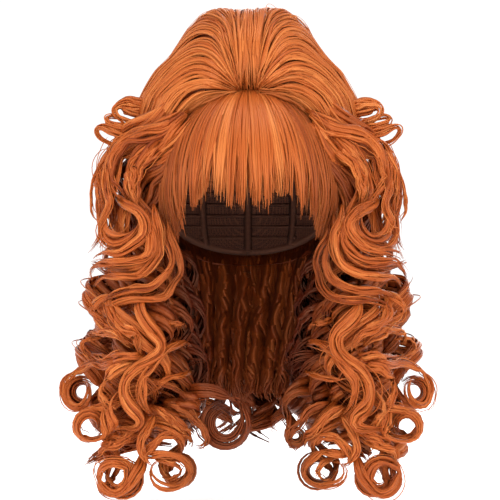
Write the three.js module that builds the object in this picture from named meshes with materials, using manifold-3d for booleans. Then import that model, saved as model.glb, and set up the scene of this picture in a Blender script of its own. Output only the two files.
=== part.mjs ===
// A long bouffant wig: a hollow net cap, a gathered beehive crown, a full fringe, wide
// temple sweeps and long ringlets that hang round the face, the shoulders and the nape.
// Millimetres, +Z up, the face looks towards -Y, and the origin is the top of the hollow,
// where the wig sits on the top of a head.
import * as THREE from 'three';
import { mergeVertices } from 'three/addons/utils/BufferGeometryUtils.js';
import Module from 'manifold-3d';

const wasm = await Module();
wasm.setup();

// Head hollow and cap
const headWidth = 150;
const headLength = 190;
const headDepth = 100; // from the top of the head down to its widest level
const capWall = 2;
const rimFront = 62; // how far the rim lies under the top, at the forehead
const rimNape = 148; // the same at the nape
const pieceGap = 0.4; // between pieces that lie against each other

// Crown
const crownRise = 84; // the top of the beehive over the top of the head
const crownSkirt = 166; // the lowest reach of the crown under the top of the head
const crownWidth = 214;
const crownFront = 76;
const crownBack = 124;
const crownFolds = 20; // folds that run out from the gather
const foldDepth = 2.6;
const gatherForward = 45; // the pinch, in front of the top of the head
const gatherRise = 12;
const gatherDent = 9; // how deep the pinch pulls the crown in
const gatherReach = 24;
const knobSpread = 33; // the two rolled knobs on top of the beehive
const knobRise = 5;
const knobReach = 17;
const hemFront = 96; // the crown's lower edge under the top of the head, at the temples
const hemNape = 163;

// Fringe
const fringeLift = 15; // its outer face over the head
const fringeWidth = 168;
const fringeHeight = 206; // of the oval that the fringe fills, seen from the front
const fringeCentre = 94; // that oval's centre under the top of the head
const fringeRoot = 30; // where its root starts, in front of the top of the head
const fringeFlutes = 30;
const fluteDepth = 1.3;
const tipCount = 19;
const tipCut = 7; // the notch between two tips

// Long hair
const hairSpread = 170; // half the width of the curls
const hairReach = 120; // how far the curls come forward or lie back
const hairDrop = 367; // the lowest ring under the top of the head
const napeReach = 0.76; // how far the inner nape hair hangs, as a share of the drop
const napeTurn = 0.34; // the share of the way round that it covers
const napeWaves = 9;
const napeRipple = 3.5;
const napeThickness = 4;
const napeNarrowing = 0.82;
const hemBury = 14; // a hanging lock's root starts this far up inside the crown
const lockWidth = 24;
const lockThickness = 6.5;
const ringletRadius = 17;
const ringRadius = 15; // the open ring at a ringlet's tip
const ringWidth = 15;
const ringTurns = 0.92;
const ringLean = 0.7; // how far a ring winds back over its turn, as a share of its radius
const stepsPerTurn = 8;

const headMeridians = 24;
const headRings = 12;
const FAR = 600; // longer than the wig, for cutting tools

const wave = (turns) => 2 * Math.PI * turns;
const ease = (t) => t * t * (3 - 2 * t);
const clamp01 = (t) => Math.min(1, Math.max(0, t));

// A closed three.js geometry as a solid, and a solid as a geometry.
function solidOf(geometry) {
  const bare = geometry.clone();
  bare.deleteAttribute('normal');
  bare.deleteAttribute('uv');
  const merged = mergeVertices(bare, 1e-3);
  const vertProperties = merged.attributes.position.array;
  const triVerts = new Uint32Array(merged.index.array);
  return new wasm.Manifold(new wasm.Mesh({ numProp: 3, vertProperties, triVerts }));
}

function geometryOf(solid) {
  const mesh = solid.getMesh();
  const places = new Float32Array(mesh.numVert * 3);
  for (let i = 0; i < mesh.numVert; i++) {
    places.set(mesh.vertProperties.subarray(i * mesh.numProp, i * mesh.numProp + 3), i * 3);
  }
  const geometry = new THREE.BufferGeometry();
  geometry.setAttribute('position', new THREE.BufferAttribute(places, 3));
  geometry.setIndex(new THREE.BufferAttribute(new Uint32Array(mesh.triVerts), 1));
  geometry.computeVertexNormals();
  return geometry;
}

const less = (solid, ...cutters) => cutters.reduce((left, cutter) => left.subtract(cutter), solid);
const joined = (solids) => solids.reduce((all, one) => all.add(one));

// The mirror image of a solid across the plane between left and right.
function mirrored(solid) {
  const geometry = geometryOf(solid).scale(-1, 1, 1);
  const corners = geometry.index.array;
  for (let i = 0; i < corners.length; i += 3) {
    [corners[i], corners[i + 1]] = [corners[i + 1], corners[i]];
  }
  return solidOf(geometry);
}

// The largest body of a solid: what a cut leaves inside the crown is dropped.
function mainBody(solid) {
  const bodies = solid.decompose();
  return bodies.reduce((best, body) => (body.volume() > best.volume() ? body : best));
}

// Moves each vertex of a geometry to the place that a function gives for it.
function reshape(geometry, placeOf) {
  const position = geometry.attributes.position;
  const vertex = new THREE.Vector3();
  for (let i = 0; i < position.count; i++) {
    vertex.fromBufferAttribute(position, i);
    position.setXYZ(i, ...placeOf(vertex).toArray());
  }
  return geometry;
}

// The row of a table at a share, with its columns blended linearly between rows.
function rowAt(table, key, share) {
  const last = table.length - 1;
  let i = table.findIndex((row) => row[key] >= share);
  if (i < 0) i = last;
  if (i === 0) return table[0];
  const [low, high] = [table[i - 1], table[i]];
  const t = clamp01((share - low[key]) / (high[key] - low[key]));
  const blended = {};
  for (const column of Object.keys(low)) blended[column] = low[column] + (high[column] - low[column]) * t;
  return blended;
}

// Head form, cap and the room that the wearer takes
function headForm(grow) {
  const form = new THREE.SphereGeometry(1, headMeridians, headRings);
  form.rotateX(Math.PI / 2);
  form.scale(headWidth / 2 + grow, headLength / 2 + grow, headDepth + grow);
  form.translate(0, 0, -headDepth);
  return solidOf(form);
}

// A half space under a plane that falls from the forehead to the nape.
function underSlope(front, nape) {
  const block = new THREE.BoxGeometry(FAR, 2 * FAR, FAR);
  block.translate(0, 0, -FAR / 2);
  block.rotateX(Math.atan2(front - nape, headLength));
  block.translate(0, 0, -(front + nape) / 2);
  return solidOf(block);
}

const headRoom = headForm(0);
const overCap = headForm(capWall + pieceGap);
const cap = less(headForm(capWall), headRoom, underSlope(rimFront, rimNape));

// The crown's level sections, from its lowest reach to its top. Heights are shares of its
// full height, and the other columns are shares of its half width, front and back.
const crownSections = [
  { height: 0.0, half: 0.8, front: 0.8, back: 0.82 },
  { height: 0.25, half: 0.95, front: 0.95, back: 0.95 },
  { height: 0.5, half: 1.0, front: 1.0, back: 1.0 },
  { height: 0.67, half: 0.945, front: 0.9, back: 0.93 },
  { height: 0.77, half: 0.81, front: 0.76, back: 0.84 },
  { height: 0.82, half: 0.69, front: 0.7, back: 0.76 },
  { height: 0.87, half: 0.61, front: 0.62, back: 0.67 },
  { height: 0.92, half: 0.53, front: 0.5, back: 0.56 },
  { height: 0.96, half: 0.42, front: 0.34, back: 0.44 },
  { height: 0.99, half: 0.26, front: 0.15, back: 0.31 },
  { height: 1.0, half: 0.05, front: 0.0, back: 0.1 },
];

function insideCrown(point) {
  const row = rowAt(crownSections, 'height', (point.z + crownSkirt) / (crownRise + crownSkirt));
  const half = (row.half * crownWidth) / 2;
  const front = row.front * crownFront;
  const back = row.back * crownBack;
  const across = point.x / half;
  const along = (point.y - (back - front) / 2) / ((back + front) / 2);
  const level = point.z < crownRise && point.z > -crownSkirt;
  return level && across * across + along * along < 1;
}

// The crown's bulk: a sphere with its pole at the gather, so that its meridians are the
// folds, with each vertex moved out to the crown's sections.
const crownCentre = new THREE.Vector3(0, (crownBack - crownFront) / 2, -headDepth * 0.3);
const gather = new THREE.Vector3(0, -gatherForward, gatherRise);
const gatherWay = gather.clone().sub(crownCentre).normalize();

function crownReach(way) {
  let near = 0;
  let far = FAR;
  for (let i = 0; i < 26; i++) {
    const middle = (near + far) / 2;
    if (insideCrown(crownCentre.clone().addScaledVector(way, middle))) near = middle;
    else far = middle;
  }
  return near;
}

function crownBulk(grow) {
  const ball = new THREE.SphereGeometry(1, 2 * crownFolds, 15);
  const toGather = new THREE.Quaternion().setFromUnitVectors(new THREE.Vector3(0, 1, 0), gatherWay);
  const knobs = [-1, 1].map((side) => new THREE.Vector3(side * knobSpread, crownBack * 0.03, crownRise));
  return solidOf(
    reshape(ball, (pole) => {
      const turn = Math.atan2(pole.z, pole.x);
      const fromPole = Math.acos(THREE.MathUtils.clamp(pole.y, -1, 1));
      const way = pole.clone().applyQuaternion(toGather);
      const bare = crownCentre.clone().addScaledVector(way, crownReach(way));
      const fade = Math.sin(fromPole) * (1 - 0.7 * ease(clamp01(fromPole / Math.PI)));
      const fold = foldDepth * fade * Math.cos(crownFolds * turn);
      const dent = gatherDent * Math.exp(-((bare.distanceTo(gather) / gatherReach) ** 2));
      const knob = knobs.reduce(
        (sum, place) => sum + knobRise * Math.exp(-((bare.distanceTo(place) / knobReach) ** 2)),
        0,
      );
      return bare.addScaledVector(way, fold - dent + knob + grow);
    }),
  );
}

// The oval seen from the front, which the fringe fills and the crown leaves free, as a
// prism from far in front to the fringe's root.
function fringeOval(grow) {
  const oval = new THREE.Shape();
  oval.absellipse(0, 0, fringeWidth / 2 + grow, fringeHeight / 2 + grow, 0, wave(1), false);
  const prism = new THREE.ExtrudeGeometry(oval, { depth: FAR, bevelEnabled: false, curveSegments: 24 });
  prism.rotateX(Math.PI / 2);
  prism.translate(0, -fringeRoot + grow, -fringeCentre);
  return solidOf(prism);
}

// The fringe's lower edge, seen from the front: shares of its half width and, downwards,
// of the oval's full height.
const fringeHem = [
  { across: 0.0, down: 0.485 },
  { across: 0.24, down: 0.5 },
  { across: 0.42, down: 0.455 },
  { across: 0.56, down: 0.52 },
  { across: 0.7, down: 0.585 },
  { across: 0.84, down: 0.655 },
  { across: 1.0, down: 0.72 },
];

function fringeOuter(grow) {
  const shell = new THREE.SphereGeometry(1, 2 * fringeFlutes, 10);
  shell.rotateX(Math.PI / 2);
  return solidOf(
    reshape(shell, (place) => {
      const turn = Math.atan2(place.y, place.x);
      const level = Math.sqrt(Math.max(0, 1 - place.z * place.z));
      const lift = fringeLift + grow + fluteDepth * level * Math.cos(fringeFlutes * turn);
      return new THREE.Vector3(
        place.x * (headWidth / 2 + lift),
        place.y * (headLength / 2 + lift),
        place.z * (headDepth + lift) - headDepth,
      );
    }),
  );
}

// What lies under the fringe's tips and notches, lowered by a gap.
function underTips(lower) {
  const half = fringeWidth / 2;
  const edge = new THREE.Shape();
  edge.moveTo(-FAR, -FAR);
  for (let i = 0; i <= 2 * tipCount; i++) {
    const across = i / tipCount - 1;
    const hem = rowAt(fringeHem, 'across', Math.abs(across)).down * fringeHeight;
    const notch = i % 2 ? 0 : tipCut;
    edge.lineTo(i === 0 ? -FAR : i === 2 * tipCount ? FAR : across * half, -hem + notch - lower);
  }
  edge.lineTo(FAR, -FAR);
  const prism = new THREE.ExtrudeGeometry(edge, { depth: 2 * FAR, bevelEnabled: false });
  prism.rotateX(Math.PI / 2);
  prism.translate(0, FAR, 0);
  return solidOf(prism);
}

const fringeZone = fringeOval(-pieceGap / 2);
const fringe = mainBody(less(fringeOuter(0).intersect(fringeZone), overCap, underTips(0)));

// The wearer's neck and face, which the hair leaves free.
const neckHalf = 46;
function wearerRoom() {
  const neck = new THREE.CylinderGeometry(neckHalf, neckHalf, FAR, 24);
  neck.rotateX(Math.PI / 2);
  neck.translate(0, 0, -FAR / 2 - headDepth);
  return overCap.add(solidOf(neck));
}
const wearer = wearerRoom();
const crown = mainBody(
  less(crownBulk(0), wearer, fringeOval(pieceGap / 2), underSlope(hemFront, hemNape)),
);

// Locks: a flat lens of hair, swept along a path and wound round its spine.
const lens = new THREE.Shape();
lens.setFromPoints([
  new THREE.Vector2(0.5, 0),
  new THREE.Vector2(0, 0.5),
  new THREE.Vector2(-0.5, 0),
  new THREE.Vector2(0, -0.5),
]);

// The plain taper of a lock: narrower at its root and again at its tip.
const taper = (t) => ({
  root: 0.6 + 0.4 * ease(clamp01(t / 0.15)),
  tip: 1 - 0.35 * ease(clamp01((t - 0.75) / 0.25)),
});

function lockSolid(path, grow) {
  const straight = new THREE.ExtrudeGeometry(lens, { depth: 1, steps: path.steps, bevelEnabled: false });
  return solidOf(
    reshape(straight, (place) => {
      const t = place.z;
      const point = path.at(t);
      const tangent = path.at(t + 0.002).sub(path.at(t - 0.002)).normalize();
      const outward = path.outward(t, point);
      const thin = outward.addScaledVector(tangent, -outward.dot(tangent)).normalize();
      const wide = tangent.clone().cross(thin);
      const { root, tip } = (path.taper ?? taper)(t);
      const past = t < 1e-6 ? -grow : t > 1 - 1e-6 ? grow : 0;
      return point
        .addScaledVector(tangent, past)
        .addScaledVector(thin, place.x * (path.thickness * tip + 2.8 * grow))
        .addScaledVector(wide, place.y * (path.width * root * tip + 6 * grow));
    }),
  );
}

// The two ways across a spine's direction, for the winding.
function windWays(direction) {
  const level = Math.abs(direction.y) > 0.8 ? new THREE.Vector3(0, 0, 1) : new THREE.Vector3(0, 1, 0);
  const first = direction.clone().cross(level).normalize();
  return [first, direction.clone().cross(first).normalize()];
}

// A smooth line through points, which goes straight on past its ends.
function smoothLine(points) {
  const curve = new THREE.CatmullRomCurve3(points, false, 'centripetal');
  return (t) => {
    const within = clamp01(t);
    const over = (t - within) * curve.getLength();
    return curve.getPointAt(within).addScaledVector(curve.getTangentAt(within), over);
  };
}

// A lock that winds round its spine: its radius grows after the root, and closes again
// where the tip runs on into a ring.
function woundPath(points, wind, intoRing) {
  const spineAt = smoothLine(points);
  const direction = points.at(-1).clone().sub(points[0]).normalize();
  const [first, second] = windWays(direction);
  const offset = (t) => {
    const opened = 0.25 + 0.75 * ease(clamp01(t / 0.25));
    const closed = intoRing ? 1 - 0.98 * ease(clamp01((t - 0.84) / 0.16)) : 1;
    const reach = wind.radius * opened * closed;
    const angle = wave(wind.from + wind.turns * t);
    return first
      .clone()
      .multiplyScalar(reach * Math.cos(angle))
      .addScaledVector(second, reach * wind.squash * Math.sin(angle));
  };
  return {
    at: (t) => spineAt(t).add(offset(t)),
    outward: offset,
    steps: Math.round(stepsPerTurn * wind.turns),
    width: wind.width,
    thickness: lockThickness,
  };
}

// A lock laid along its points, flat against the head's upright axis.
function laidPath(points, width) {
  return {
    at: smoothLine(points),
    outward: (t, point) => new THREE.Vector3(point.x, point.y - crownCentre.y, 0),
    steps: Math.round(points.length * 1.5),
    width,
    thickness: lockThickness,
  };
}

// An open ring at a lock's tip, seen from the front. Its spokes turn from the tip's place.
const ringSpoke = (ring, t) => {
  const angle = wave(ring.from + ringTurns * t * ring.sense);
  return new THREE.Vector3(Math.cos(angle), ringLean * t, Math.sin(angle));
};

function ringPath(centre, ring) {
  const radius = ringRadius * ring.size;
  return {
    at: (t) => centre.clone().addScaledVector(ringSpoke(ring, t), radius),
    outward: (t) => ringSpoke(ring, t),
    steps: stepsPerTurn + 2,
    width: ringWidth * ring.size,
    thickness: lockThickness * Math.min(0.8, ring.size),
    taper: (t) => ({ root: 1, tip: 1 - 0.5 * ease(clamp01((t - 0.6) / 0.4)) }),
  };
}

// A point between the head and the crown's skin, at a turn round the head (0 is the front)
// and a height. A share of 0 is at the head, 1 is on the skin, and more is outside it.
function wallPoint(turn, height, share) {
  const way = new THREE.Vector3(Math.sin(wave(turn)), -Math.cos(wave(turn)), 0);
  const level = (height + headDepth) / headDepth;
  const narrowed = Math.sqrt(Math.max(0.01, 1 - level * level));
  const inner = narrowed / Math.hypot(way.x / (headWidth / 2), way.y / (headLength / 2));
  let near = 0;
  let far = FAR;
  for (let i = 0; i < 26; i++) {
    const middle = (near + far) / 2;
    if (insideCrown(new THREE.Vector3(way.x * middle, way.y * middle, height))) near = middle;
    else far = middle;
  }
  const radius = inner + (near - inner) * share;
  return new THREE.Vector3(way.x * radius, way.y * radius, height);
}

// The height of the crown's lower edge at a turn round the head.
function hemHeight(turn) {
  const along = -Math.cos(wave(turn)) / 2;
  return -(hemFront + hemNape) / 2 - (hemNape - hemFront) * along;
}

// A point of a spine on the left side. A row lies in the crown's wall where it has a turn,
// and otherwise at shares of the hair's spread, reach and drop.
function spinePoint(row) {
  if ('turn' in row) {
    const height = 'down' in row ? -row.down * hairDrop : hemHeight(row.turn) + hemBury;
    return wallPoint(row.turn, height, row.wall);
  }
  return new THREE.Vector3(row.across * hairSpread, row.along * hairReach, -row.down * hairDrop);
}

// Hanging ringlets, from the face to the back. wind: turns, the turn it starts at, its
// radius and width as shares of a full ringlet's, and its depth against its width. ring:
// the open ring at its tip: the turn where it starts, which way it goes and its size.
const ringlets = [
  {
    name: 'cheek_wave',
    spine: [
      { turn: 0.21, wall: 0.62 },
      { across: 0.55, along: -0.3, down: 0.4 },
      { across: 0.56, along: -0.5, down: 0.5 },
      { across: 0.56, along: -0.68, down: 0.64 },
      { across: 0.6, along: -0.75, down: 0.78 },
    ],
    wind: { turns: 2.85, from: 0.73, radius: 1.45, squash: 0.42, width: 1 },
    ring: { across: 0.85, along: -0.72, down: 0.82, from: 0.75, sense: 1, size: 0.95 },
  },
  {
    name: 'middle_curl',
    spine: [
      { turn: 0.235, wall: 0.5 },
      { across: 0.68, along: -0.1, down: 0.46 },
      { across: 0.68, along: -0.32, down: 0.62 },
      { across: 0.68, along: -0.5, down: 0.82 },
    ],
    wind: { turns: 4.2, from: 0.3, radius: 0.95, squash: 1, width: 1 },
    ring: { across: 0.67, along: -0.6, down: 0.954, from: 0, sense: -1, size: 1.05 },
  },
  {
    name: 'outer_curl',
    spine: [
      { turn: 0.265, wall: 0.6 },
      { across: 0.76, along: 0.06, down: 0.46 },
      { across: 0.83, along: -0.02, down: 0.6 },
      { across: 0.83, along: -0.1, down: 0.68 },
    ],
    wind: { turns: 3.1, from: 0.55, radius: 1.05, squash: 1, width: 1 },
    ring: { across: 0.91, along: -0.2, down: 0.745, from: 0.5, sense: 1, size: 0.95 },
  },
  {
    name: 'front_curl',
    spine: [
      { turn: 0.285, wall: 0.4 },
      { across: 0.46, along: -0.02, down: 0.46 },
      { across: 0.45, along: -0.32, down: 0.62 },
      { across: 0.41, along: -0.54, down: 0.82 },
    ],
    wind: { turns: 4.1, from: 0.8, radius: 0.9, squash: 1, width: 1 },
    ring: { across: 0.37, along: -0.6, down: 0.935, from: 0, sense: -1, size: 1.05 },
  },
  {
    name: 'side_curl',
    spine: [
      { turn: 0.3, wall: 0.6 },
      { across: 0.66, along: 0.28, down: 0.5 },
      { across: 0.7, along: 0.24, down: 0.68 },
      { across: 0.7, along: 0.16, down: 0.9 },
    ],
    wind: { turns: 3.7, from: 0.1, radius: 1, squash: 1, width: 1 },
  },
  {
    name: 'neck_curl',
    spine: [
      { turn: 0.35, wall: 0.45 },
      { across: 0.37, along: 0.2, down: 0.52 },
      { across: 0.34, along: -0.1, down: 0.64 },
      { across: 0.26, along: -0.42, down: 0.74 },
    ],
    wind: { turns: 3.2, from: 0.6, radius: 0.65, squash: 1, width: 0.85 },
    ring: { across: 0.12, along: -0.6, down: 0.82, from: 0.35, sense: 1, size: 1.35 },
    leftRing: { across: 0.26, along: -0.6, down: 0.85, from: 0.35, sense: 1, size: 0.6 },
  },
  {
    name: 'shoulder_curl',
    spine: [
      { turn: 0.385, wall: 0.6 },
      { across: 0.45, along: 0.6, down: 0.55 },
      { across: 0.48, along: 0.56, down: 0.7 },
      { across: 0.5, along: 0.5, down: 0.88 },
    ],
    wind: { turns: 3.5, from: 0.9, radius: 1, squash: 1, width: 1 },
  },
  {
    name: 'back_curl',
    spine: [
      { turn: 0.45, wall: 0.62 },
      { across: 0.22, along: 0.84, down: 0.55 },
      { across: 0.22, along: 0.8, down: 0.7 },
      { across: 0.22, along: 0.76, down: 0.88 },
    ],
    wind: { turns: 3.4, from: 0.4, radius: 0.95, squash: 1, width: 1 },
  },
];

// The one ringlet in the middle of the back.
const middleBack = {
  name: 'back_curl_middle',
  spine: [
    { turn: 0.5, wall: 0.62 },
    { across: 0, along: 0.88, down: 0.56 },
    { across: 0, along: 0.84, down: 0.71 },
    { across: 0, along: 0.8, down: 0.89 },
  ],
  wind: { turns: 3.4, from: 0.15, radius: 0.95, squash: 1, width: 1 },
};

// The wide locks that sweep back over the temples, and the loops behind them.
const sweeps = [
  {
    name: 'temple_sweep',
    spine: [
      { turn: 0.14, wall: 0.75, down: 0.03 },
      { turn: 0.158, wall: 1.04, down: 0.065 },
      { turn: 0.195, wall: 1.14, down: 0.105 },
      { across: 0.68, along: -0.18, down: 0.15 },
      { across: 0.71, along: -0.25, down: 0.2 },
      { across: 0.75, along: -0.34, down: 0.26 },
      { across: 0.775, along: -0.43, down: 0.31 },
      { across: 0.755, along: -0.51, down: 0.35 },
      { across: 0.7, along: -0.57, down: 0.362 },
      { across: 0.635, along: -0.61, down: 0.35 },
      { across: 0.59, along: -0.63, down: 0.32 },
      { across: 0.6, along: -0.62, down: 0.285 },
      { across: 0.66, along: -0.58, down: 0.265 },
    ],
  },
  {
    name: 'temple_wave',
    spine: [
      { turn: 0.17, wall: 0.8, down: 0.085 },
      { across: 0.53, along: -0.36, down: 0.12 },
      { across: 0.61, along: -0.33, down: 0.16 },
      { across: 0.635, along: -0.34, down: 0.21 },
      { across: 0.61, along: -0.38, down: 0.26 },
      { across: 0.54, along: -0.43, down: 0.31 },
      { across: 0.5, along: -0.5, down: 0.36 },
      { across: 0.52, along: -0.6, down: 0.41 },
      { across: 0.62, along: -0.6, down: 0.43 },
      { across: 0.74, along: -0.5, down: 0.43 },
      { across: 0.86, along: -0.4, down: 0.41 },
    ],
  },
];

// Fuller locks that fall beside the crown, outside and behind the sweeps.
const sideLocks = [
  {
    name: 'side_sweep',
    spine: [
      { turn: 0.17, wall: 0.9, down: 0.0 },
      { turn: 0.19, wall: 1.08, down: 0.05 },
      { across: 0.7, along: -0.08, down: 0.1 },
      { across: 0.775, along: -0.12, down: 0.15 },
      { across: 0.81, along: -0.16, down: 0.2 },
      { across: 0.815, along: -0.2, down: 0.25 },
      { across: 0.79, along: -0.26, down: 0.3 },
      { across: 0.8, along: -0.3, down: 0.35 },
      { across: 0.86, along: -0.32, down: 0.4 },
    ],
  },
  {
    name: 'ear_sweep',
    spine: [
      { turn: 0.22, wall: 0.9, down: 0.03 },
      { turn: 0.225, wall: 1.12, down: 0.09 },
      { across: 0.75, along: 0.06, down: 0.13 },
      { across: 0.815, along: 0.02, down: 0.19 },
      { across: 0.8, along: 0.0, down: 0.26 },
      { across: 0.76, along: -0.04, down: 0.32 },
      { across: 0.8, along: -0.08, down: 0.38 },
    ],
  },
  {
    name: 'side_wave',
    spine: [
      { turn: 0.27, wall: 0.8, down: 0.08 },
      { turn: 0.275, wall: 1.08, down: 0.16 },
      { across: 0.75, along: 0.24, down: 0.24 },
      { across: 0.71, along: 0.2, down: 0.32 },
      { across: 0.77, along: 0.16, down: 0.4 },
      { across: 0.73, along: 0.12, down: 0.48 },
    ],
  },
  {
    name: 'nape_wave',
    spine: [
      { turn: 0.32, wall: 0.8, down: 0.1 },
      { turn: 0.325, wall: 1.06, down: 0.18 },
      { across: 0.67, along: 0.5, down: 0.26 },
      { across: 0.63, along: 0.48, down: 0.34 },
      { across: 0.67, along: 0.44, down: 0.42 },
      { across: 0.63, along: 0.4, down: 0.5 },
    ],
  },
];

const loops = {
  name: 'temple_loops',
  spine: [
    { turn: 0.24, wall: 0.6, down: 0.0 },
    { turn: 0.243, wall: 1.3, down: 0.02 },
    { across: 0.83, along: 0.02, down: 0.1 },
  ],
  wind: { turns: 2.6, from: 0.3, radius: 0.6, squash: 1, width: 0.4 },
};

// Room that is taken: each new lock leaves a gap to what hangs there before it.
const crownKeep = less(
  crownBulk(pieceGap),
  fringeOval(-pieceGap / 2),
  underSlope(hemFront + pieceGap, hemNape + pieceGap),
);
const fringeKeep = less(fringeOuter(pieceGap).intersect(fringeOval(pieceGap / 2)), underTips(pieceGap));
const taken = [wearer, crownKeep, fringeKeep];

function hang(paths, side) {
  const [bare, grown] = [0, pieceGap].map((grow) => {
    const lock = joined(paths.map((path) => lockSolid(path, grow)));
    return side < 0 ? mirrored(lock) : lock;
  });
  const kept = mainBody(less(bare, ...taken));
  taken.push(grown);
  return kept;
}

function ringlet(lock, side) {
  const wind = { ...lock.wind, radius: lock.wind.radius * ringletRadius, width: lock.wind.width * lockWidth };
  const points = lock.spine.map(spinePoint);
  const ring = side > 0 ? (lock.leftRing ?? lock.ring) : lock.ring;
  if (!ring) return hang([woundPath(points, wind, false)], side);
  const centre = spinePoint(ring);
  points.push(centre.clone().addScaledVector(ringSpoke(ring, 0), ringRadius * ring.size));
  return hang([woundPath(points, wind, true), ringPath(centre, ring)], side);
}

// Short waved hair in front of the back ringlets, from the crown's wall to below the nape.
function napeHair() {
  const sheet = new THREE.BoxGeometry(1, 1, 1, 3 * napeWaves, 1, 3);
  const solid = solidOf(
    reshape(sheet, (place) => {
      const turn = 0.5 - place.x * napeTurn;
      const down = 0.5 - place.z;
      const root = wallPoint(turn, hemHeight(turn) + hemBury, 0.18);
      const ripple = Math.min(1, 2 * down) * napeRipple * Math.cos(wave(napeWaves * (place.x + 0.5 + 0.1 * down)));
      const scale = 1 - (1 - napeNarrowing) * down;
      const outward = new THREE.Vector3(root.x, root.y, 0).normalize();
      const edge = new THREE.Vector3(root.x * scale, root.y * scale, root.z);
      edge.z -= down * (hairDrop * napeReach + root.z);
      return edge.addScaledVector(outward, ripple + place.y * napeThickness);
    }),
  );
  return mainBody(less(solid, ...taken));
}

const sweep = (lock, side) => hang([laidPath(lock.spine.map(spinePoint), lockWidth)], side);

const group = new THREE.Group();
const material = (color, roughness) => new THREE.MeshStandardMaterial({ color, roughness, metalness: 0 });
const hair = material(0xc8622c, 0.5);
const net = material(0x4a2412, 0.9);
const made = new Map();

function add(name, solid, surface = hair) {
  const mesh = new THREE.Mesh(geometryOf(solid), surface);
  mesh.name = name;
  group.add(mesh);
  made.set(name, solid);
}

add('wig_cap', cap, net);
add('crown', crown);
add('fringe', fringe);
for (const side of [-1, 1]) {
  const end = side < 0 ? 'right' : 'left';
  for (const lock of sweeps) add(`${lock.name}_${end}`, sweep(lock, side));
  for (const lock of [loops, ...ringlets]) add(`${lock.name}_${end}`, ringlet(lock, side));
  for (const lock of sideLocks) add(`${lock.name}_${end}`, sweep(lock, side));
}
add(middleBack.name, ringlet(middleBack, 1));
add('nape_hair', napeHair());

export default group;
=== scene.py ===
"""The looks of a long bouffant wig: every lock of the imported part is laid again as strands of
hair that follow the same line, round a gathered beehive crown and a full fringe."""

import math

import bpy
import numpy as np
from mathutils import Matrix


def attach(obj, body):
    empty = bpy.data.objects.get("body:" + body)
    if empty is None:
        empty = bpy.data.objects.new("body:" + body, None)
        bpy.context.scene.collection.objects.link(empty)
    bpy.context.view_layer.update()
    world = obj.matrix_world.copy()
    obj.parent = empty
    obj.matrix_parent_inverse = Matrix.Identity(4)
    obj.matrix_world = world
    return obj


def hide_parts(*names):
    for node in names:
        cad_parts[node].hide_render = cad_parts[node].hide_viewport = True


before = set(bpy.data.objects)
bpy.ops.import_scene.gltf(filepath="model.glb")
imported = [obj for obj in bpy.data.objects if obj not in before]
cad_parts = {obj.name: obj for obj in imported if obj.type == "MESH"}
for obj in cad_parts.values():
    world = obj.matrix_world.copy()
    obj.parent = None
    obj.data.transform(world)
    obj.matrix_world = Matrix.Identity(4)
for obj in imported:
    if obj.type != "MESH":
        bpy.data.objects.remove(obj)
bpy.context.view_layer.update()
bpy.ops.object.select_all(action="DESELECT")

# ---- Sizes, in metres: the part's own ----
HEAD = np.array([0.075, 0.095, 0.1])  # half width, half length and depth of the hollow
CAP_WALL = 0.002
RIM_FRONT, RIM_NAPE = 0.062, 0.148
CROWN_RISE, CROWN_SKIRT = 0.084, 0.166
CROWN_WIDTH, CROWN_FRONT, CROWN_BACK = 0.214, 0.076, 0.124
GATHER = np.array([0.0, -0.045, 0.012])
GATHER_DENT, GATHER_REACH = 0.009, 0.024
PINCH = np.array([0.0, -0.0665, 0.006])  # where the crown's hair sets out
CROWN_LAP = 0.005  # how far the crown's hair laps over the fringe's roots
KNOB_SPREAD, KNOB_RISE, KNOB_REACH = 0.033, 0.005, 0.017
HEM_FRONT, HEM_NAPE = 0.096, 0.163
FRINGE_LIFT, FRINGE_WIDTH, FRINGE_HEIGHT, FRINGE_CENTRE = 0.015, 0.168, 0.206, 0.094
OVAL_FULLNESS = 2.2  # 2 is a plain oval, more is fuller at its shoulders
HAIR_SPREAD, HAIR_REACH, HAIR_DROP = 0.17, 0.12, 0.367
NAPE_REACH, NAPE_TURN, NAPE_WAVES, NAPE_RIPPLE, NAPE_NARROWING = 0.76, 0.34, 9, 0.0035, 0.82
HEM_BURY = 0.014
LOCK_WIDTH, LOCK_THICKNESS = 0.024, 0.0065
RINGLET_RADIUS, RING_RADIUS, RING_TURNS, RING_LEAN = 0.017, 0.015, 0.92, 0.7
NECK_HALF = 0.046  # half the breadth of the space for the neck
CROWN_CENTRE = np.array([0.0, (CROWN_BACK - CROWN_FRONT) / 2, -0.03])

# The crown's level sections: height as a share of its full height, then shares of its half
# width, front and back.
CROWN_SECTIONS = np.array([
    (0.0, 0.8, 0.8, 0.82),
    (0.25, 0.95, 0.95, 0.95),
    (0.5, 1.0, 1.0, 1.0),
    (0.67, 0.945, 0.9, 0.93),
    (0.77, 0.81, 0.76, 0.84),
    (0.82, 0.69, 0.7, 0.76),
    (0.87, 0.61, 0.62, 0.67),
    (0.92, 0.53, 0.5, 0.56),
    (0.96, 0.42, 0.34, 0.44),
    (0.99, 0.26, 0.15, 0.31),
    (1.0, 0.05, 0.0, 0.1),
])
# The fringe's lower edge: at shares of its half width, how far it hangs below the top of the
# head, as a share of its oval's height.
FRINGE_HEM = np.array([
    (0.0, 0.475), (0.1, 0.5), (0.22, 0.49), (0.28, 0.445), (0.44, 0.435), (0.5, 0.475), (0.63, 0.51),
    (0.76, 0.55), (0.8, 0.6), (0.88, 0.64), (1.0, 0.67),
])

UP = np.array([0.0, 0.0, 1.0])
STATIONS = 420  # places along a lock's middle line
BETWEEN = 48  # places along a smooth line between two of its points
LOCK_SPREAD = 0.62  # how far a lock's strands reach across its half width
COPY_SHAKE = 0.0024  # how far the points of a lock's copy move, at random
COPY_STEP = np.array([0.004, 0, 0.003])  # how far each copy lies inwards from its lock and below it


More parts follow.
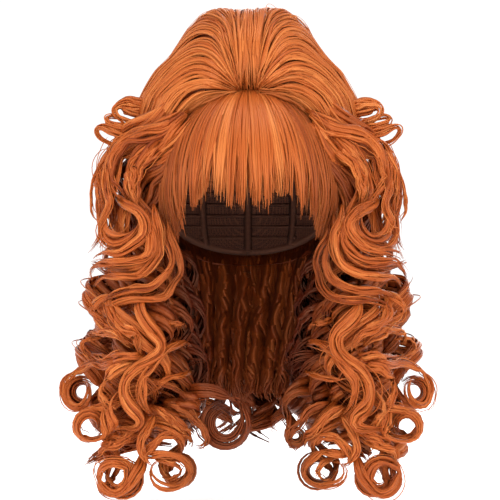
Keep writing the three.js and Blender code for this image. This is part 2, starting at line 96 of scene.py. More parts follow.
def unit(vectors):
    return vectors / np.maximum(np.linalg.norm(vectors, axis=-1, keepdims=True), 1e-12)


def ease(t):
    t = np.clip(t, 0, 1)
    return t * t * (3 - 2 * t)


def dice_for(name):
    """Random numbers that are the same each run, and different for each name."""
    return np.random.default_rng(sum((i + 1) * ord(letter) for i, letter in enumerate(name)))


def wander(dice, t, waves):
    """A smooth wobble between about -1 and 1 along a strand."""
    total = np.zeros_like(t)
    for part in (0.5, 1.0, 1.9):
        total += dice.uniform(0.3, 0.7) * np.sin(2 * math.pi * (waves * part * t + dice.uniform()))
    return total


# ---- The crown's form ----
def inside_crown(points):
    share = (points[:, 2] + CROWN_SKIRT) / (CROWN_RISE + CROWN_SKIRT)
    half, front, back = (
        np.interp(share, CROWN_SECTIONS[:, 0], CROWN_SECTIONS[:, k]) * size
        for k, size in ((1, CROWN_WIDTH / 2), (2, CROWN_FRONT), (3, CROWN_BACK))
    )
    across = points[:, 0] / half
    along = (points[:, 1] - (back - front) / 2) / ((back + front) / 2)
    return (share > 0) & (share < 1) & (across**2 + along**2 < 1)


def reach_of(starts, ways):
    """How far the crown's skin lies from each start along its way."""
    near, far = np.zeros(len(ways)), np.full(len(ways), 0.6)
    for _ in range(22):
        middle = (near + far) / 2
        within = inside_crown(starts + ways * middle[:, None])
        near, far = np.where(within, middle, near), np.where(within, far, middle)
    return near


def crown_skin(ways, lift):
    """Points on the crown's skin, seen from its centre, with the pinch and the two knobs."""
    bare = CROWN_CENTRE + ways * reach_of(np.tile(CROWN_CENTRE, (len(ways), 1)), ways)[:, None]
    height = lift - GATHER_DENT * np.exp(-((np.linalg.norm(bare - GATHER, axis=1) / GATHER_REACH) ** 2))
    for side in (-1, 1):
        knob = np.array([side * KNOB_SPREAD, CROWN_BACK * 0.03, CROWN_RISE])
        height = height + KNOB_RISE * np.exp(-((np.linalg.norm(bare - knob, axis=1) / KNOB_REACH) ** 2))
    return bare + ways * height[:, None]


def hem_height(turn):
    along = -np.cos(2 * math.pi * turn) / 2
    return -(HEM_FRONT + HEM_NAPE) / 2 - (HEM_NAPE - HEM_FRONT) * along


def wall_point(turn, height, share):
    """A point between the head (0) and the crown's skin (1), at a turn round the head."""
    way = np.array([math.sin(2 * math.pi * turn), -math.cos(2 * math.pi * turn), 0.0])
    level = (height + HEAD[2]) / HEAD[2]
    narrowed = math.sqrt(max(0.01, 1 - level * level))
    inner = narrowed / math.hypot(way[0] / HEAD[0], way[1] / HEAD[1])
    outer = reach_of(np.array([[0.0, 0.0, height]]), way[None])[0]
    return way * (inner + (outer - inner) * share) + np.array([0.0, 0.0, height])


# ---- Lines of hair ----
def smooth_line(points):
    """A dense smooth line through points."""
    p = np.array(points, float)
    p = np.vstack([2 * p[0] - p[1], p, 2 * p[-1] - p[-2]])
    line = []
    s = np.linspace(0, 1, BETWEEN, endpoint=False)[:, None]
    for a, b, c, d in zip(p, p[1:], p[2:], p[3:]):
        before, over, after = (max(1e-4, float(np.linalg.norm(v))) ** 0.5 for v in (b - a, c - b, d - c))
        start = over * ((b - a) / before - (c - a) / (before + over) + (c - b) / over)
        end = over * ((c - b) / over - (d - b) / (over + after) + (d - c) / after)
        line.append(
            (2 * s**3 - 3 * s**2 + 1) * b
            + (s**3 - 2 * s**2 + s) * start
            + (-2 * s**3 + 3 * s**2) * c
            + (s**3 - s**2) * end
        )
    return np.vstack([*line, p[-2][None]])


def evenly(line, count, *others):
    """A line as evenly spaced points, with other values along it picked at the same places."""
    run = np.concatenate([[0], np.cumsum(np.linalg.norm(np.diff(line, axis=0), axis=1))])
    at = np.linspace(0, run[-1], count)
    return [np.stack([np.interp(at, run, v[:, k]) for k in range(3)], axis=1) for v in (line, *others)]


def softened(values, passes):
    """Values along a line with their kinks worn down, and their ends kept."""
    values = values.copy()
    for _ in range(passes):
        values[1:-1] = (values[:-2] + 2 * values[1:-1] + values[2:]) / 4
    return values


def way_of(line, outward, passes=0, ring=None, side=1):
    """A lock's middle line and the two ways across it, thin and wide. ring is the share of its
    length where a ring begins, and that ring's radius. On side -1 it is mirrored to the right."""
    mirror = np.array([side, 1.0, 1.0])
    line, outward = evenly(line * mirror, STATIONS, outward * mirror)
    line, outward = softened(line, passes), softened(outward, passes)
    tangent = unit(np.gradient(line, axis=0))
    thin = unit(outward - tangent * np.sum(outward * tangent, axis=1, keepdims=True))
    length = float(np.sum(np.linalg.norm(np.diff(line, axis=0), axis=1)))
    return {"line": line, "thin": thin, "wide": np.cross(tangent, thin), "length": length, "ring": ring}


def spine_point(row):
    """A spine's point: ("wall", turn, share) near the hem of the crown's wall, ("wall", turn, share,
    down) higher in it, or (across, along, down) as shares of the hair's spread, reach and drop."""
    if row[0] == "wall":
        height = -row[3] * HAIR_DROP if len(row) > 3 else float(hem_height(row[1])) + HEM_BURY
        return wall_point(row[1], height, row[2])
    return np.array([row[0] * HAIR_SPREAD, row[1] * HAIR_REACH, -row[2] * HAIR_DROP])


def spine_points(rows):
    return np.array([spine_point(row) for row in rows])


def wound_line(points, wind, into_ring=False, dice=None):
    """A line that winds round its spine, and the way outwards from the spine along it. wind gives
    its turns, where on the turn it begins, its radius and how far it is squashed."""
    turns, begin, radius, squash = wind
    (spine,) = evenly(smooth_line(points), 600)
    t = np.linspace(0, 1, 600)
    direction = unit(points[-1] - points[0])
    level = UP if abs(direction[1]) > 0.8 else np.array([0.0, 1.0, 0.0])
    first = unit(np.cross(direction, level))
    second = unit(np.cross(direction, first))
    reach = radius * RINGLET_RADIUS * (0.25 + 0.75 * ease(t / 0.25))
    if into_ring:
        reach = reach * (1 - 0.98 * ease((t - 0.84) / 0.16))
    angle = 2 * math.pi * (begin + turns * t)
    if dice is not None:
        angle = angle + 0.45 * wander(dice, t, 1.4) * t
        reach = reach * (1 + 0.14 * wander(dice, t, 1.7))
    spoke = first * np.cos(angle)[:, None] + second * (squash * np.sin(angle))[:, None]
    return spine + spoke * reach[:, None], spoke


def ring_spokes(ring, t):
    """The ways from a ring's centre to its hair. A ring is the three shares of its centre, where
    on the turn it begins, which way it turns, and its size."""
    angle = 2 * math.pi * (ring[3] + RING_TURNS * t * ring[4])
    return np.stack([np.cos(angle), RING_LEAN * t, np.sin(angle)], axis=1)


def ringlet_way(lock, side, dice):
    """The middle line of a ringlet on one side, running on into the ring at its tip."""
    points = list(spine_points(lock["spine"]))
    ring = lock.get("left_ring" if side > 0 and "left_ring" in lock else "ring")
    if ring:
        centre, radius = spine_point(ring), RING_RADIUS * ring[5]
        points.append(centre + ring_spokes(ring, np.zeros(1))[0] * radius)
    line, outward = wound_line(points, lock["wind"], bool(ring), dice)
    if not ring:
        return way_of(line, outward, 30, side=side)
    spokes = ring_spokes(ring, np.linspace(0, 1, 120))
    line = np.vstack([line[:-6], centre + spokes[3:] * radius])
    outward = np.vstack([outward[:-6], spokes[3:]])
    run = np.sum(np.linalg.norm(np.diff(line, axis=0), axis=1))
    return way_of(line, outward, 30, (1 - 2 * math.pi * RING_TURNS * radius / run, radius), side)


def laid_way(points, side):
    """The middle line of a lock laid along its points, flat against the crown's upright axis."""
    line = smooth_line(points)
    return way_of(line, line * np.array([1, 1, 0]) - np.array([0, CROWN_CENTRE[1], 0]), side=side)


# ---- Strands ----
BLANKS = {}


def strand_blank(rings):
    """A straight three-sided strand of unit length and width, with a ridge along its outer face:
    its corners as shares across, through and along, and its faces."""
    if rings not in BLANKS:
        bpy.ops.mesh.primitive_cylinder_add(
            vertices=3, radius=0.55, depth=1, end_fill_type="TRIFAN", location=(0, 0, 0.5)
        )
        blank = bpy.context.object
        bpy.ops.object.transform_apply(location=True)
        bpy.ops.object.mode_set(mode="EDIT")
        bpy.ops.mesh.select_all(action="DESELECT")
        bpy.ops.mesh.select_mode(type="EDGE")
        bpy.ops.object.mode_set(mode="OBJECT")
        corners = [v.co.copy() for v in blank.data.vertices]
        for edge in blank.data.edges:
            low, high = (corners[i] for i in edge.vertices)
            edge.select = abs(low.z - high.z) > 0.5
        bpy.ops.object.mode_set(mode="EDIT")
        bpy.ops.mesh.subdivide(number_cuts=rings - 2)
        bpy.ops.object.mode_set(mode="OBJECT")
        co = np.array([v.co for v in blank.data.vertices])
        faces = [tuple(f.vertices) for f in blank.data.polygons]
        bpy.data.objects.remove(blank)
        BLANKS[rings] = (co, faces)
    return BLANKS[rings]


def strand_on(way, t, across, through, width, thickness, tone, taper=(0.1, 0.3)):
    """A strand beside a lock's middle line. across and through are distances from it along the
    lock's two ways, at the shares t of its length."""
    place = np.clip(t, 0, 1) * (STATIONS - 1)
    low = np.minimum(place.astype(int), STATIONS - 2)
    part = (place - low)[:, None]
    line, thin, wide = (
        way[k][low] * (1 - part) + way[k][low + 1] * part for k in ("line", "thin", "wide")
    )
    along = np.linspace(0, 1, len(t))
    full = np.minimum(0.25 + 0.75 * ease(along / taper[0]), 0.12 + 0.88 * ease((1 - along) / taper[1]))
    return {
        "line": line + wide * across[:, None] + thin * through[:, None],
        "wide": wide,
        "thin": thin,
        "width": width * full,
        "thickness": thickness * full,
        "tone": tone,
    }


def lock_of_hair(dice, way, width, thickness, rings, tresses, each, stray=3, tone=0.44, shade=1.0):
    """The strands of one lock: a few tresses side by side that wander a little apart, each of
    several strands, and some stray hairs that leave it. In a ring at the tip the strands lie
    in each other."""
    strands = []
    half = width / 2
    order = dice.permutation(tresses * each)
    whole = np.linspace(0, 1, rings)
    for j in range(tresses):
        middle = ((j + 0.5) / tresses * 2 - 1) * LOCK_SPREAD if tresses > 1 else 0.0
        swing = 0.2 * wander(dice, whole, 1.6) * (0.5 + whole)
        rise = 0.28 * wander(dice, whole, 1.9) * (0.4 + whole)
        last = 1 - 0.05 * dice.uniform()
        lean = np.clip(dice.normal(tone, 0.1), 0.05, 0.95)
        for i in range(each):
            offset = ((i + 0.5) / each * 2 - 1) * LOCK_SPREAD / tresses
            end = 1 - 0.02 * dice.uniform() if way["ring"] else last - 0.03 * abs(dice.normal())
            t = np.linspace(dice.uniform(0, 0.015), end, rings)
            drawn = (0.3 + 0.7 * ease(t / 0.16)) * (1 - 0.55 * ease((t - 0.7) / 0.3))
            across = half * drawn * (middle + offset + swing + 0.07 * wander(dice, t, 2.4))
            bow = 0.3 * (1 - (offset * tresses / LOCK_SPREAD) ** 2)
            through = thickness * (bow + rise + 0.12 * wander(dice, t, 2.6))
            deep = np.full(rings, thickness * dice.uniform(0.2, 0.32))
            if way["ring"]:
                begins, radius = way["ring"]
                in_ring = ease((t - begins + 0.03) / 0.1)
                inward = (order[j * each + i] + dice.uniform(0, 0.6)) / (tresses * each) * 0.62 - 0.05
                through = through * (1 - 0.7 * in_ring) - radius * in_ring * inward
                deep = deep * (1 + 0.5 * in_ring)
            breadth = width / tresses / each * dice.uniform(2.3, 3.1)
            own = np.clip(dice.normal(lean, 0.1), 0, 1)
            taper = (0.08, 0.07 if way["ring"] else 0.25)
            strands.append(strand_on(way, t, across, through, breadth, deep, own, taper))
    for _ in range(stray):
        begin = dice.uniform(0.05, 0.4)
        t = np.linspace(begin, way["ring"][0] if way["ring"] else dice.uniform(0.8, 0.97), rings)
        edge = dice.choice([-1, 1])
        across = half * (edge * dice.uniform(0.5, 1.0) + 0.3 * wander(dice, t, 1.7)) * (1 - 0.4 * t)
        through = thickness * (dice.uniform(-0.4, 0.8) + 0.6 * wander(dice, t, 1.5))
        own = np.clip(dice.normal(tone + 0.1, 0.12), 0, 1)
        strands.append(strand_on(way, t, across, through, 0.0012, 0.0009, own))
    for strand in strands:
        strand["shade"] = shade
    return strands


def openness(points):
    """How open to the light each point of the hair is, from 0 deep beside the neck to 1; the hair's
    colour is darkened by it as painted shade.
    """
    around = np.hypot(points[:, 0], (points[:, 1] - 0.012) * 0.8)
    below = ease((-0.06 - points[:, 2]) / 0.08) * (1 - 0.5 * ease((points[:, 1] - 0.03) / 0.04))
    return 1 - below * (1 - ease((around - NECK_HALF) / 0.075))


def dress(mesh, tones, painted_shade_factor, uv):
    """Gives a mesh what the hair's finish reads at each corner: tone, openness as painted shade, and a
    map.
    """
    for name, values in (("tone", tones), ("open", painted_shade_factor)):
        mesh.attributes.new(name, "FLOAT", "POINT").data.foreach_set("value", values.astype(np.float32))
    loops = np.empty(len(mesh.loops), np.int32)
    mesh.loops.foreach_get("vertex_index", loops)
    mesh.uv_layers.new(name="strand").data.foreach_set("uv", uv[loops].astype(np.float32).ravel())


def hair_piece(name, strands, finish, replaced=()):
    """One mesh of many strands, each laid from the straight strand."""
    corners, faces, tones, shades, uvs = [], [], [], [], []
    total = 0
    for strand in strands:
        rings = len(strand["line"])
        blank, blank_faces = strand_blank(rings)
        ring = np.rint(blank[:, 2] * (rings - 1)).astype(int)
        placed = (
            strand["line"][ring]
            + strand["wide"][ring] * (blank[:, 0] * strand["width"][ring])[:, None]
            + strand["thin"][ring] * (blank[:, 1] * strand["thickness"][ring])[:, None]
        )
        run = np.concatenate([[0], np.cumsum(np.linalg.norm(np.diff(strand["line"], axis=0), axis=1))])
        around = blank[:, 0] * strand["width"][ring].max() + strand["tone"] * 7.3
        corners.append(placed)
        tones.append(np.full(len(placed), strand["tone"]))
        shades.append(np.broadcast_to(strand.get("shade", 1.0), rings)[ring])
        uvs.append(np.stack([around, run[ring]], axis=1))
        faces.append((blank_faces, total))
        total += len(placed)
    corners = np.vstack(corners)
    mesh = bpy.data.meshes.new(name)
    mesh.from_pydata(corners, [], [tuple(i + start for i in f) for group, start in faces for f in group])
    # painted shade: openness times each strand's shade darkens the hair's colour
    dress(mesh, np.concatenate(tones), openness(corners) * np.concatenate(shades), np.vstack(uvs))
    mesh.shade_smooth()
    piece = bpy.data.objects.new(name, mesh)
    bpy.context.scene.collection.objects.link(piece)
    mesh.materials.append(finish)
    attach(piece, "root")
    if replaced:
        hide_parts(*replaced)
    return piece


# ---- Finishes ----
def material_with(name):
    material = bpy.data.materials.new(name)
    material.use_nodes = True
    tree = material.node_tree
    return material, tree, tree.nodes["Principled BSDF"]


def add_node(tree, kind, values=None, **settings):
    node = tree.nodes.new(kind)
    for key, value in settings.items():
        setattr(node, key, value)
    for key, value in (values or {}).items():
        node.inputs[key].default_value = value
    return node


def ramp_of(tree, source, *stops):
    """Colours picked by a value, from stops of a position and a colour, the two ends first."""
    ramp = add_node(tree, "ShaderNodeValToRGB")
    elements = ramp.color_ramp.elements
    for i, (position, colour) in enumerate(stops):
        stop = elements[i] if i < 2 else elements.new(position)
        stop.position, stop.color = position, (*colour, 1)
    tree.links.new(source, ramp.inputs["Fac"])
    return ramp.outputs["Color"]


def bump_from(tree, shader, source, strength, distance, **settings):
    bump = add_node(tree, "ShaderNodeBump", {"Strength": strength, "Distance": distance}, **settings)
    tree.links.new(source, bump.inputs["Height"])
    tree.links.new(bump.outputs["Normal"], shader.inputs["Normal"])


def hair_finish():
    """Warm orange hair: tone differs from strand to strand, fine streaks run along each, and
    hair that lies deep is darkened to red-brown as painted shade."""
    material, tree, shader = material_with("orange_hair")
    link = tree.links.new
    uv = add_node(tree, "ShaderNodeUVMap", uv_map="strand")
    stretch = add_node(tree, "ShaderNodeMapping", {"Scale": (1500.0, 22.0, 1.0)})
    streaks = add_node(
        tree, "ShaderNodeTexNoise", {"Scale": 1.0, "Detail": 3.0, "Roughness": 0.6}, noise_dimensions="2D"
    )
    link(uv.outputs["UV"], stretch.inputs["Vector"])
    link(stretch.outputs["Vector"], streaks.inputs["Vector"])
    tone = add_node(tree, "ShaderNodeAttribute", attribute_name="tone")
    mixed = add_node(tree, "ShaderNodeMath", {1: 0.35}, operation="MULTIPLY_ADD")
    link(streaks.outputs["Fac"], mixed.inputs[0])
    shifted = add_node(tree, "ShaderNodeMath", {1: 0.65, 2: 0.0}, operation="MULTIPLY_ADD")
    link(tone.outputs["Fac"], shifted.inputs[0])
    link(shifted.outputs["Value"], mixed.inputs[2])
    colour = ramp_of(
        tree, mixed.outputs["Value"],
        (0.18, (0.2, 0.026, 0.004)), (0.85, (0.76, 0.25, 0.062)), (0.5, (0.47, 0.096, 0.015)),
    )
    # painted shade: the colour is mixed towards near-black red-brown where the hair's openness is low
    painted_shade_factor = add_node(tree, "ShaderNodeAttribute", attribute_name="open")
    deep = add_node(tree, "ShaderNodeMix", {"A": (0.09, 0.009, 0.002, 1)}, data_type="RGBA")
    link(painted_shade_factor.outputs["Fac"], deep.inputs["Factor"])
    link(colour, deep.inputs["B"])
    link(deep.outputs["Result"], shader.inputs["Base Color"])
    bump_from(tree, shader, streaks.outputs["Fac"], 0.35, 0.0004)
    tangent = add_node(tree, "ShaderNodeTangent", direction_type="UV_MAP", uv_map="strand")
    link(tangent.outputs["Tangent"], shader.inputs["Tangent"])
    shader.inputs["Roughness"].default_value = 0.42
    shader.inputs["Anisotropic"].default_value = 0.6
    shader.inputs["Specular IOR Level"].default_value = 0.55
    shader.inputs["Specular Tint"].default_value = (1.0, 0.62, 0.4, 1)
    return material


hair = hair_finish()


# ---- Crown ----
PINCH_WAY = unit(PINCH - CROWN_CENTRE)
PINCH_RISE = unit(UP - PINCH_WAY * PINCH_WAY[2])
PINCH_LEFT = np.cross(PINCH_RISE, PINCH_WAY)
PINCH_HALF = 0.075  # half the pinch's width, as an angle seen from the crown's centre
# A flow line's steps on from its seed and back from it, the steps that surely reach the pinch,
# and a step's length as an angle seen from the crown's centre.
STEPS_AHEAD, STEPS_BACK, STEPS_TO_PINCH, STRIDE = 34, 30, 150, 0.022


def flow_at(ways):
    """The way the crown's hair lies, out from the pinch at first and then down towards the hem,
    how far each place lies from the pinch, and the pinch's place nearest to it."""
    nearest = np.clip(np.arctan2(ways @ PINCH_LEFT, ways @ PINCH_WAY), -PINCH_HALF, PINCH_HALF)
    source = PINCH_WAY * np.cos(nearest)[:, None] + PINCH_LEFT * np.sin(nearest)[:, None]
    cosine = np.clip(np.sum(ways * source, axis=1), -1, 1)
    turned = np.arccos(cosine)
    lateral = np.abs(ways @ PINCH_LEFT) / np.maximum(np.sin(turned), 1e-6)
    away = -unit(source - ways * cosine[:, None])
    down = -unit(UP - ways * (ways @ UP)[:, None])
    falling = 1.7 * lateral * ease((turned - 0.2) / 1.0) + 1.2 * ease((turned - 1.5) / 0.7)
    return unit(away + down * falling[:, None]), turned, nearest


def flow_lines(seeds):
    """Lines of hair through seeds on the crown, as ways from its centre, and for each the place
    round the pinch where its hair sets out, from 0 straight up to about 2.5 at the fringe."""
    ways, lines = seeds.copy(), [seeds.copy()]
    for _ in range(STEPS_AHEAD):
        ways = unit(ways + flow_at(ways)[0] * STRIDE)
        lines.append(ways)
    ways, behind = seeds.copy(), []
    for step in range(STEPS_TO_PINCH):
        flow, turned, nearest = flow_at(ways)
        ways = unit(ways - flow * (STRIDE * np.clip((turned - 0.03) / 0.06, 0, 1))[:, None])
        if step < STEPS_BACK:
            behind.append(ways)
    beyond = np.arctan2(ways @ PINCH_LEFT, ways @ PINCH_WAY) - nearest
    labels = nearest * 3.5 + np.arctan2(beyond, ways @ PINCH_RISE)
    return np.stack([*behind[::-1], *lines], axis=1), labels


def crown_seeds(count, dice):
    """Places spread evenly over the crown, a little shaken."""
    i = np.arange(count) + 0.5
    height = 1 - 2 * i / count
    turn = math.pi * (1 + 5**0.5) * i
    level = np.sqrt(1 - height**2)
    ways = np.stack([np.cos(turn) * level, np.sin(turn) * level, height], axis=1)
    ways = unit(ways + dice.normal(0, 0.02, ways.shape))
    return ways[height > -0.72]


def crown_ridge(label, turned):
    """How far a crown strand stands out: broad locks side by side, parted by short valleys, and
    small pleats where they leave the pinch."""
    number = 3.1 * abs(label) + 0.35 * math.sin(5 * label + 1.1) + 0.12 * turned
    lock = np.abs(np.sin(math.pi * number)) ** 0.55 - 0.72
    short = np.clip(np.sin(9.3 * label + 5.1 * turned) * np.sin(3.7 * label - 7.9 * turned + 1.0), 0, 1)
    fine = np.abs(np.sin(math.pi * (2.6 * number + 0.3))) ** 0.7 - 0.65
    pleats = np.cos(26 * label) * np.exp(-(((turned - 0.1) / 0.12) ** 2))
    return (0.0017 * lock + 0.0019 * short * fine) * ease((turned - 0.05) / 0.3) + 0.0011 * pleats


def oval_reach(points):
    """How far out each point lies from the middle of the fringe's oval, 1 at the crown's edge."""
    across = np.abs(points[..., 0]) / (FRINGE_WIDTH / 2)
    above = points[..., 2] + FRINGE_CENTRE
    upright = np.abs(above) / (FRINGE_HEIGHT / 2 - np.where(above > 0, CROWN_LAP, 0))
    return (across**OVAL_FULLNESS + upright**OVAL_FULLNESS) ** (1 / OVAL_FULLNESS)


def off_the_fringe(points, clear):
    """Points in front of the head moved out of the fringe's oval."""
    reach = oval_reach(points)
    front = ease((-0.012 - points[:, 1]) / 0.02) * (reach < 1 + clear)
    scale = 1 + front * ((1 + clear) / np.maximum(reach, 1e-6) - 1)
    moved = points.copy()
    moved[:, 0] *= scale
    moved[:, 2] = (points[:, 2] + FRINGE_CENTRE) * scale - FRINGE_CENTRE
    return moved


def turned_in(points, lift):
    """Points near the edge of the fringe's oval moved back towards it, so that the crown's edge
    rolls in to the fringe."""
    edge = (1 - ease((oval_reach(points) - 1) / 0.16)) * ease((-0.02 - points[:, 1]) / 0.02)
    size = HEAD + FRINGE_LIFT
    depth = np.clip(1 - (points[:, 0] / size[0]) ** 2 - ((points[:, 2] + HEAD[2]) / size[2]) ** 2, 0.0, 1)
    fringe = np.minimum(-size[1] * np.sqrt(depth) - 0.002 - lift, -0.03)
    moved = points.copy()
    moved[:, 1] += edge * np.clip(fringe - points[:, 1], 0, 0.014)
    return moved


def crown_strand(dice, line, label, lift, width, thickness, tone, keep):
    """One strand of the crown along a flow line, cut at the hem, or nothing if little is left."""
    turned = np.arccos(np.clip(line @ PINCH_WAY, -1, 1))
    points = crown_skin(line, lift + crown_ridge(label, turned))
    hidden = np.mean((oval_reach(points) < 0.94) & (points[:, 1] < -0.02))
    if hidden > 0.22:
        return None
    points = turned_in(off_the_fringe(points, 0.004 + 0.02 * dice.uniform()), lift)
    turn = np.arctan2(points[:, 0], -points[:, 1]) / (2 * math.pi)
    below = np.nonzero(points[:, 2] < hem_height(turn) - 0.004 * dice.uniform(0, 1.5))[0]
    points = points[: below[0]] if len(below) else points
    if len(points) < 8:
        return None
    way = way_of(points, points - CROWN_CENTRE, passes=10)
    t = np.linspace(0, 1, keep)
    near = oval_reach(points[np.rint(t * (len(points) - 1)).astype(int)])
    strand = strand_on(way, t, 0.001 * wander(dice, t, 1.2), 0 * t, width, thickness, tone, (0.35, 0.35))
    # painted shade: darker where the crown's edge meets the fringe's oval, in the crease
    strand["shade"] = 0.72 + 0.28 * ease((near - 1.0) / 0.1)
    return strand


def crown_hair():
    """Broad dense strands below, and many fine ones over them that gather into locks."""
    dice = dice_for("crown")
    tones = dice.normal(0.0, 0.06, 64)
    for layer, count, lift, width, thickness, keep in (
        ("under", 400, -0.0028, 0.0095, 0.003, 18),
        ("middle", 760, -0.0008, 0.0042, 0.0019, 18),
        ("outer", 960, 0.0002, 0.0034, 0.0012, 19),
    ):
        strands = []
        lines, labels = flow_lines(crown_seeds(count, dice))
        for line, label in zip(lines, labels):
            line = line[int(dice.uniform(0, 22)) : len(line) - int(dice.uniform(0, 16))]
            own = tones[int(abs(label) * 9) % 32 + (32 if label > 0 else 0)]
            # painted light: the crown's tone is set above the locks', for the brighter light on the wig's
            # top
            tone = np.clip(0.66 + own + 0.075 * dice.normal(), 0, 1)
            height = lift + 0.0005 * dice.normal()
            breadth = width * dice.uniform(0.7, 1.3)
            strand = crown_strand(dice, line, label, height, breadth, thickness, tone, keep)
            if strand:
                strands.append(strand)
        hair_piece(f"crown_hair_{layer}", strands, hair, ["crown"])


# The middle line of the left one of the two rolls that top the crown, in metres.
CROWN_ROLL = np.array([
    (0.01, -0.004, 0.074), (0.0175, 0.001, 0.0785), (0.026, 0.008, 0.081), (0.035, 0.018, 0.0785),
    (0.044, 0.031, 0.071), (0.0515, 0.047, 0.058), (0.056, 0.062, 0.043),
])


def crown_flyaways():
    """Single hairs that leave the crown, and the two rolls that top it."""
    dice = dice_for("flyaways")
    strands = []
    for line in flow_lines(crown_seeds(110, dice))[0]:
        line = line[int(dice.uniform(0, 40)) :][: int(dice.uniform(16, 30))]
        lift = 0.001 + 0.0035 * dice.uniform() * np.sin(np.linspace(0, math.pi, len(line)))
        points = crown_skin(line, lift)
        if len(points) < 8 or points[:, 2].min() < -0.09:
            continue
        way = way_of(points, points - CROWN_CENTRE, passes=10)
        t = np.linspace(0, 1, 20)
        swing, tone = 0.0018 * wander(dice, t, 0.8), 0.7 + 0.2 * dice.uniform()
        strands.append(strand_on(way, t, swing, 0 * t, 0.0006, 0.0005, tone))
    for side in (-1, 1):
        for k in range(2):
            points = CROWN_ROLL * np.array([side, 1, 1])
            points[0, 1] -= 0.004 * k
            line = smooth_line(points)
            way = way_of(line, line - np.array([side * 0.012, 0.02, 0.03]), passes=10)
            strands += lock_of_hair(dice, way, 0.03 - 0.008 * k, 0.0055, 26, 4, 5, stray=1, tone=0.66)
    return hair_piece("crown_rolls", strands, hair)


def core_of(node, inset, rolled=False):
    """The dense hair under a node's outer strands: its form, drawn in a little and painted dark as
    shade. rolled moves its edge in to the fringe too."""
    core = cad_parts[node].copy()
    core.data = core.data.copy()
    bpy.context.scene.collection.objects.link(core)
    core.name = core.data.name = node + "_core"
    for key in list(core.keys()):
        del core[key]
    core.hide_render = core.hide_viewport = False
    bpy.ops.object.select_all(action="DESELECT")
    core.select_set(True)
    bpy.context.view_layer.objects.active = core
    bpy.ops.object.mode_set(mode="EDIT")
    bpy.ops.mesh.select_all(action="SELECT")
    bpy.ops.mesh.remove_doubles(threshold=0.00001)
    bpy.ops.mesh.subdivide(number_cuts=1)
    bpy.ops.transform.shrink_fatten(value=-inset)
    bpy.ops.object.mode_set(mode="OBJECT")
    mesh = core.data
    corners = np.array([v.co for v in mesh.vertices])
    if rolled:
        corners = turned_in(corners, -inset - 0.001)
        mesh.vertices.foreach_set("co", corners.astype(np.float32).ravel())
    for layer in list(mesh.uv_layers):
        mesh.uv_layers.remove(layer)
    uv = np.stack([np.arctan2(corners[:, 0], -corners[:, 1] + 0.02) * 0.09, corners[:, 2]], axis=1)
    # painted shade: a low tone and the openness cut to 0.35 darken the core
    dress(mesh, np.full(len(corners), 0.25), 0.35 * openness(corners), uv)
    mesh.materials.clear()
    mesh.materials.append(hair)
    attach(core, "root")
    return core


# ---- Fringe ----
def fringe_point(across, height, lift):
    """A point of the fringe at a share of its oval's half width and a height."""
    level = np.abs((height + FRINGE_CENTRE) / (FRINGE_HEIGHT / 2))
    narrowed = np.clip(1 - level**OVAL_FULLNESS, 0.003, 1) ** (1 / OVAL_FULLNESS)
    x = across * FRINGE_WIDTH / 2 * narrowed
    size = HEAD + FRINGE_LIFT + lift
    depth = np.clip(1 - (x / size[0]) ** 2 - ((height + HEAD[2]) / size[2]) ** 2, 0.02, 1)
    return np.stack([x, -size[1] * np.sqrt(depth), height], axis=-1)


def fringe_hem(across):
    """The height of the fringe's lower edge at a share of its half width."""
    return -FRINGE_HEIGHT * float(np.interp(abs(across), FRINGE_HEM[:, 0], FRINGE_HEM[:, 1]))


def fringe_strand(dice, across, top, tip, lift, width, thickness, tone, begin=0.0, rings=21):
    """One strand of the fringe from its root to its tip, at shares across the oval."""
    heights = top + (tip - top) * np.linspace(0, 1, len(across))
    points = fringe_point(np.clip(across, -1, 1), heights, lift)
    way = way_of(points, points + np.array([0.0, 0.0, HEAD[2]]))
    t = np.linspace(begin, 1, rings)
    strand = strand_on(way, t, 0.0003 * wander(dice, t, 1.0), 0 * t, width, thickness, tone, (0.3, 0.3))
    # painted shade: darker towards the oval's sides and near the roots at the crease
    edge = ease((abs(float(across[-1])) - 0.55) / 0.35)
    strand["shade"] = (1 - 0.35 * edge) * (0.55 + 0.45 * ease(t / 0.16))
    return strand


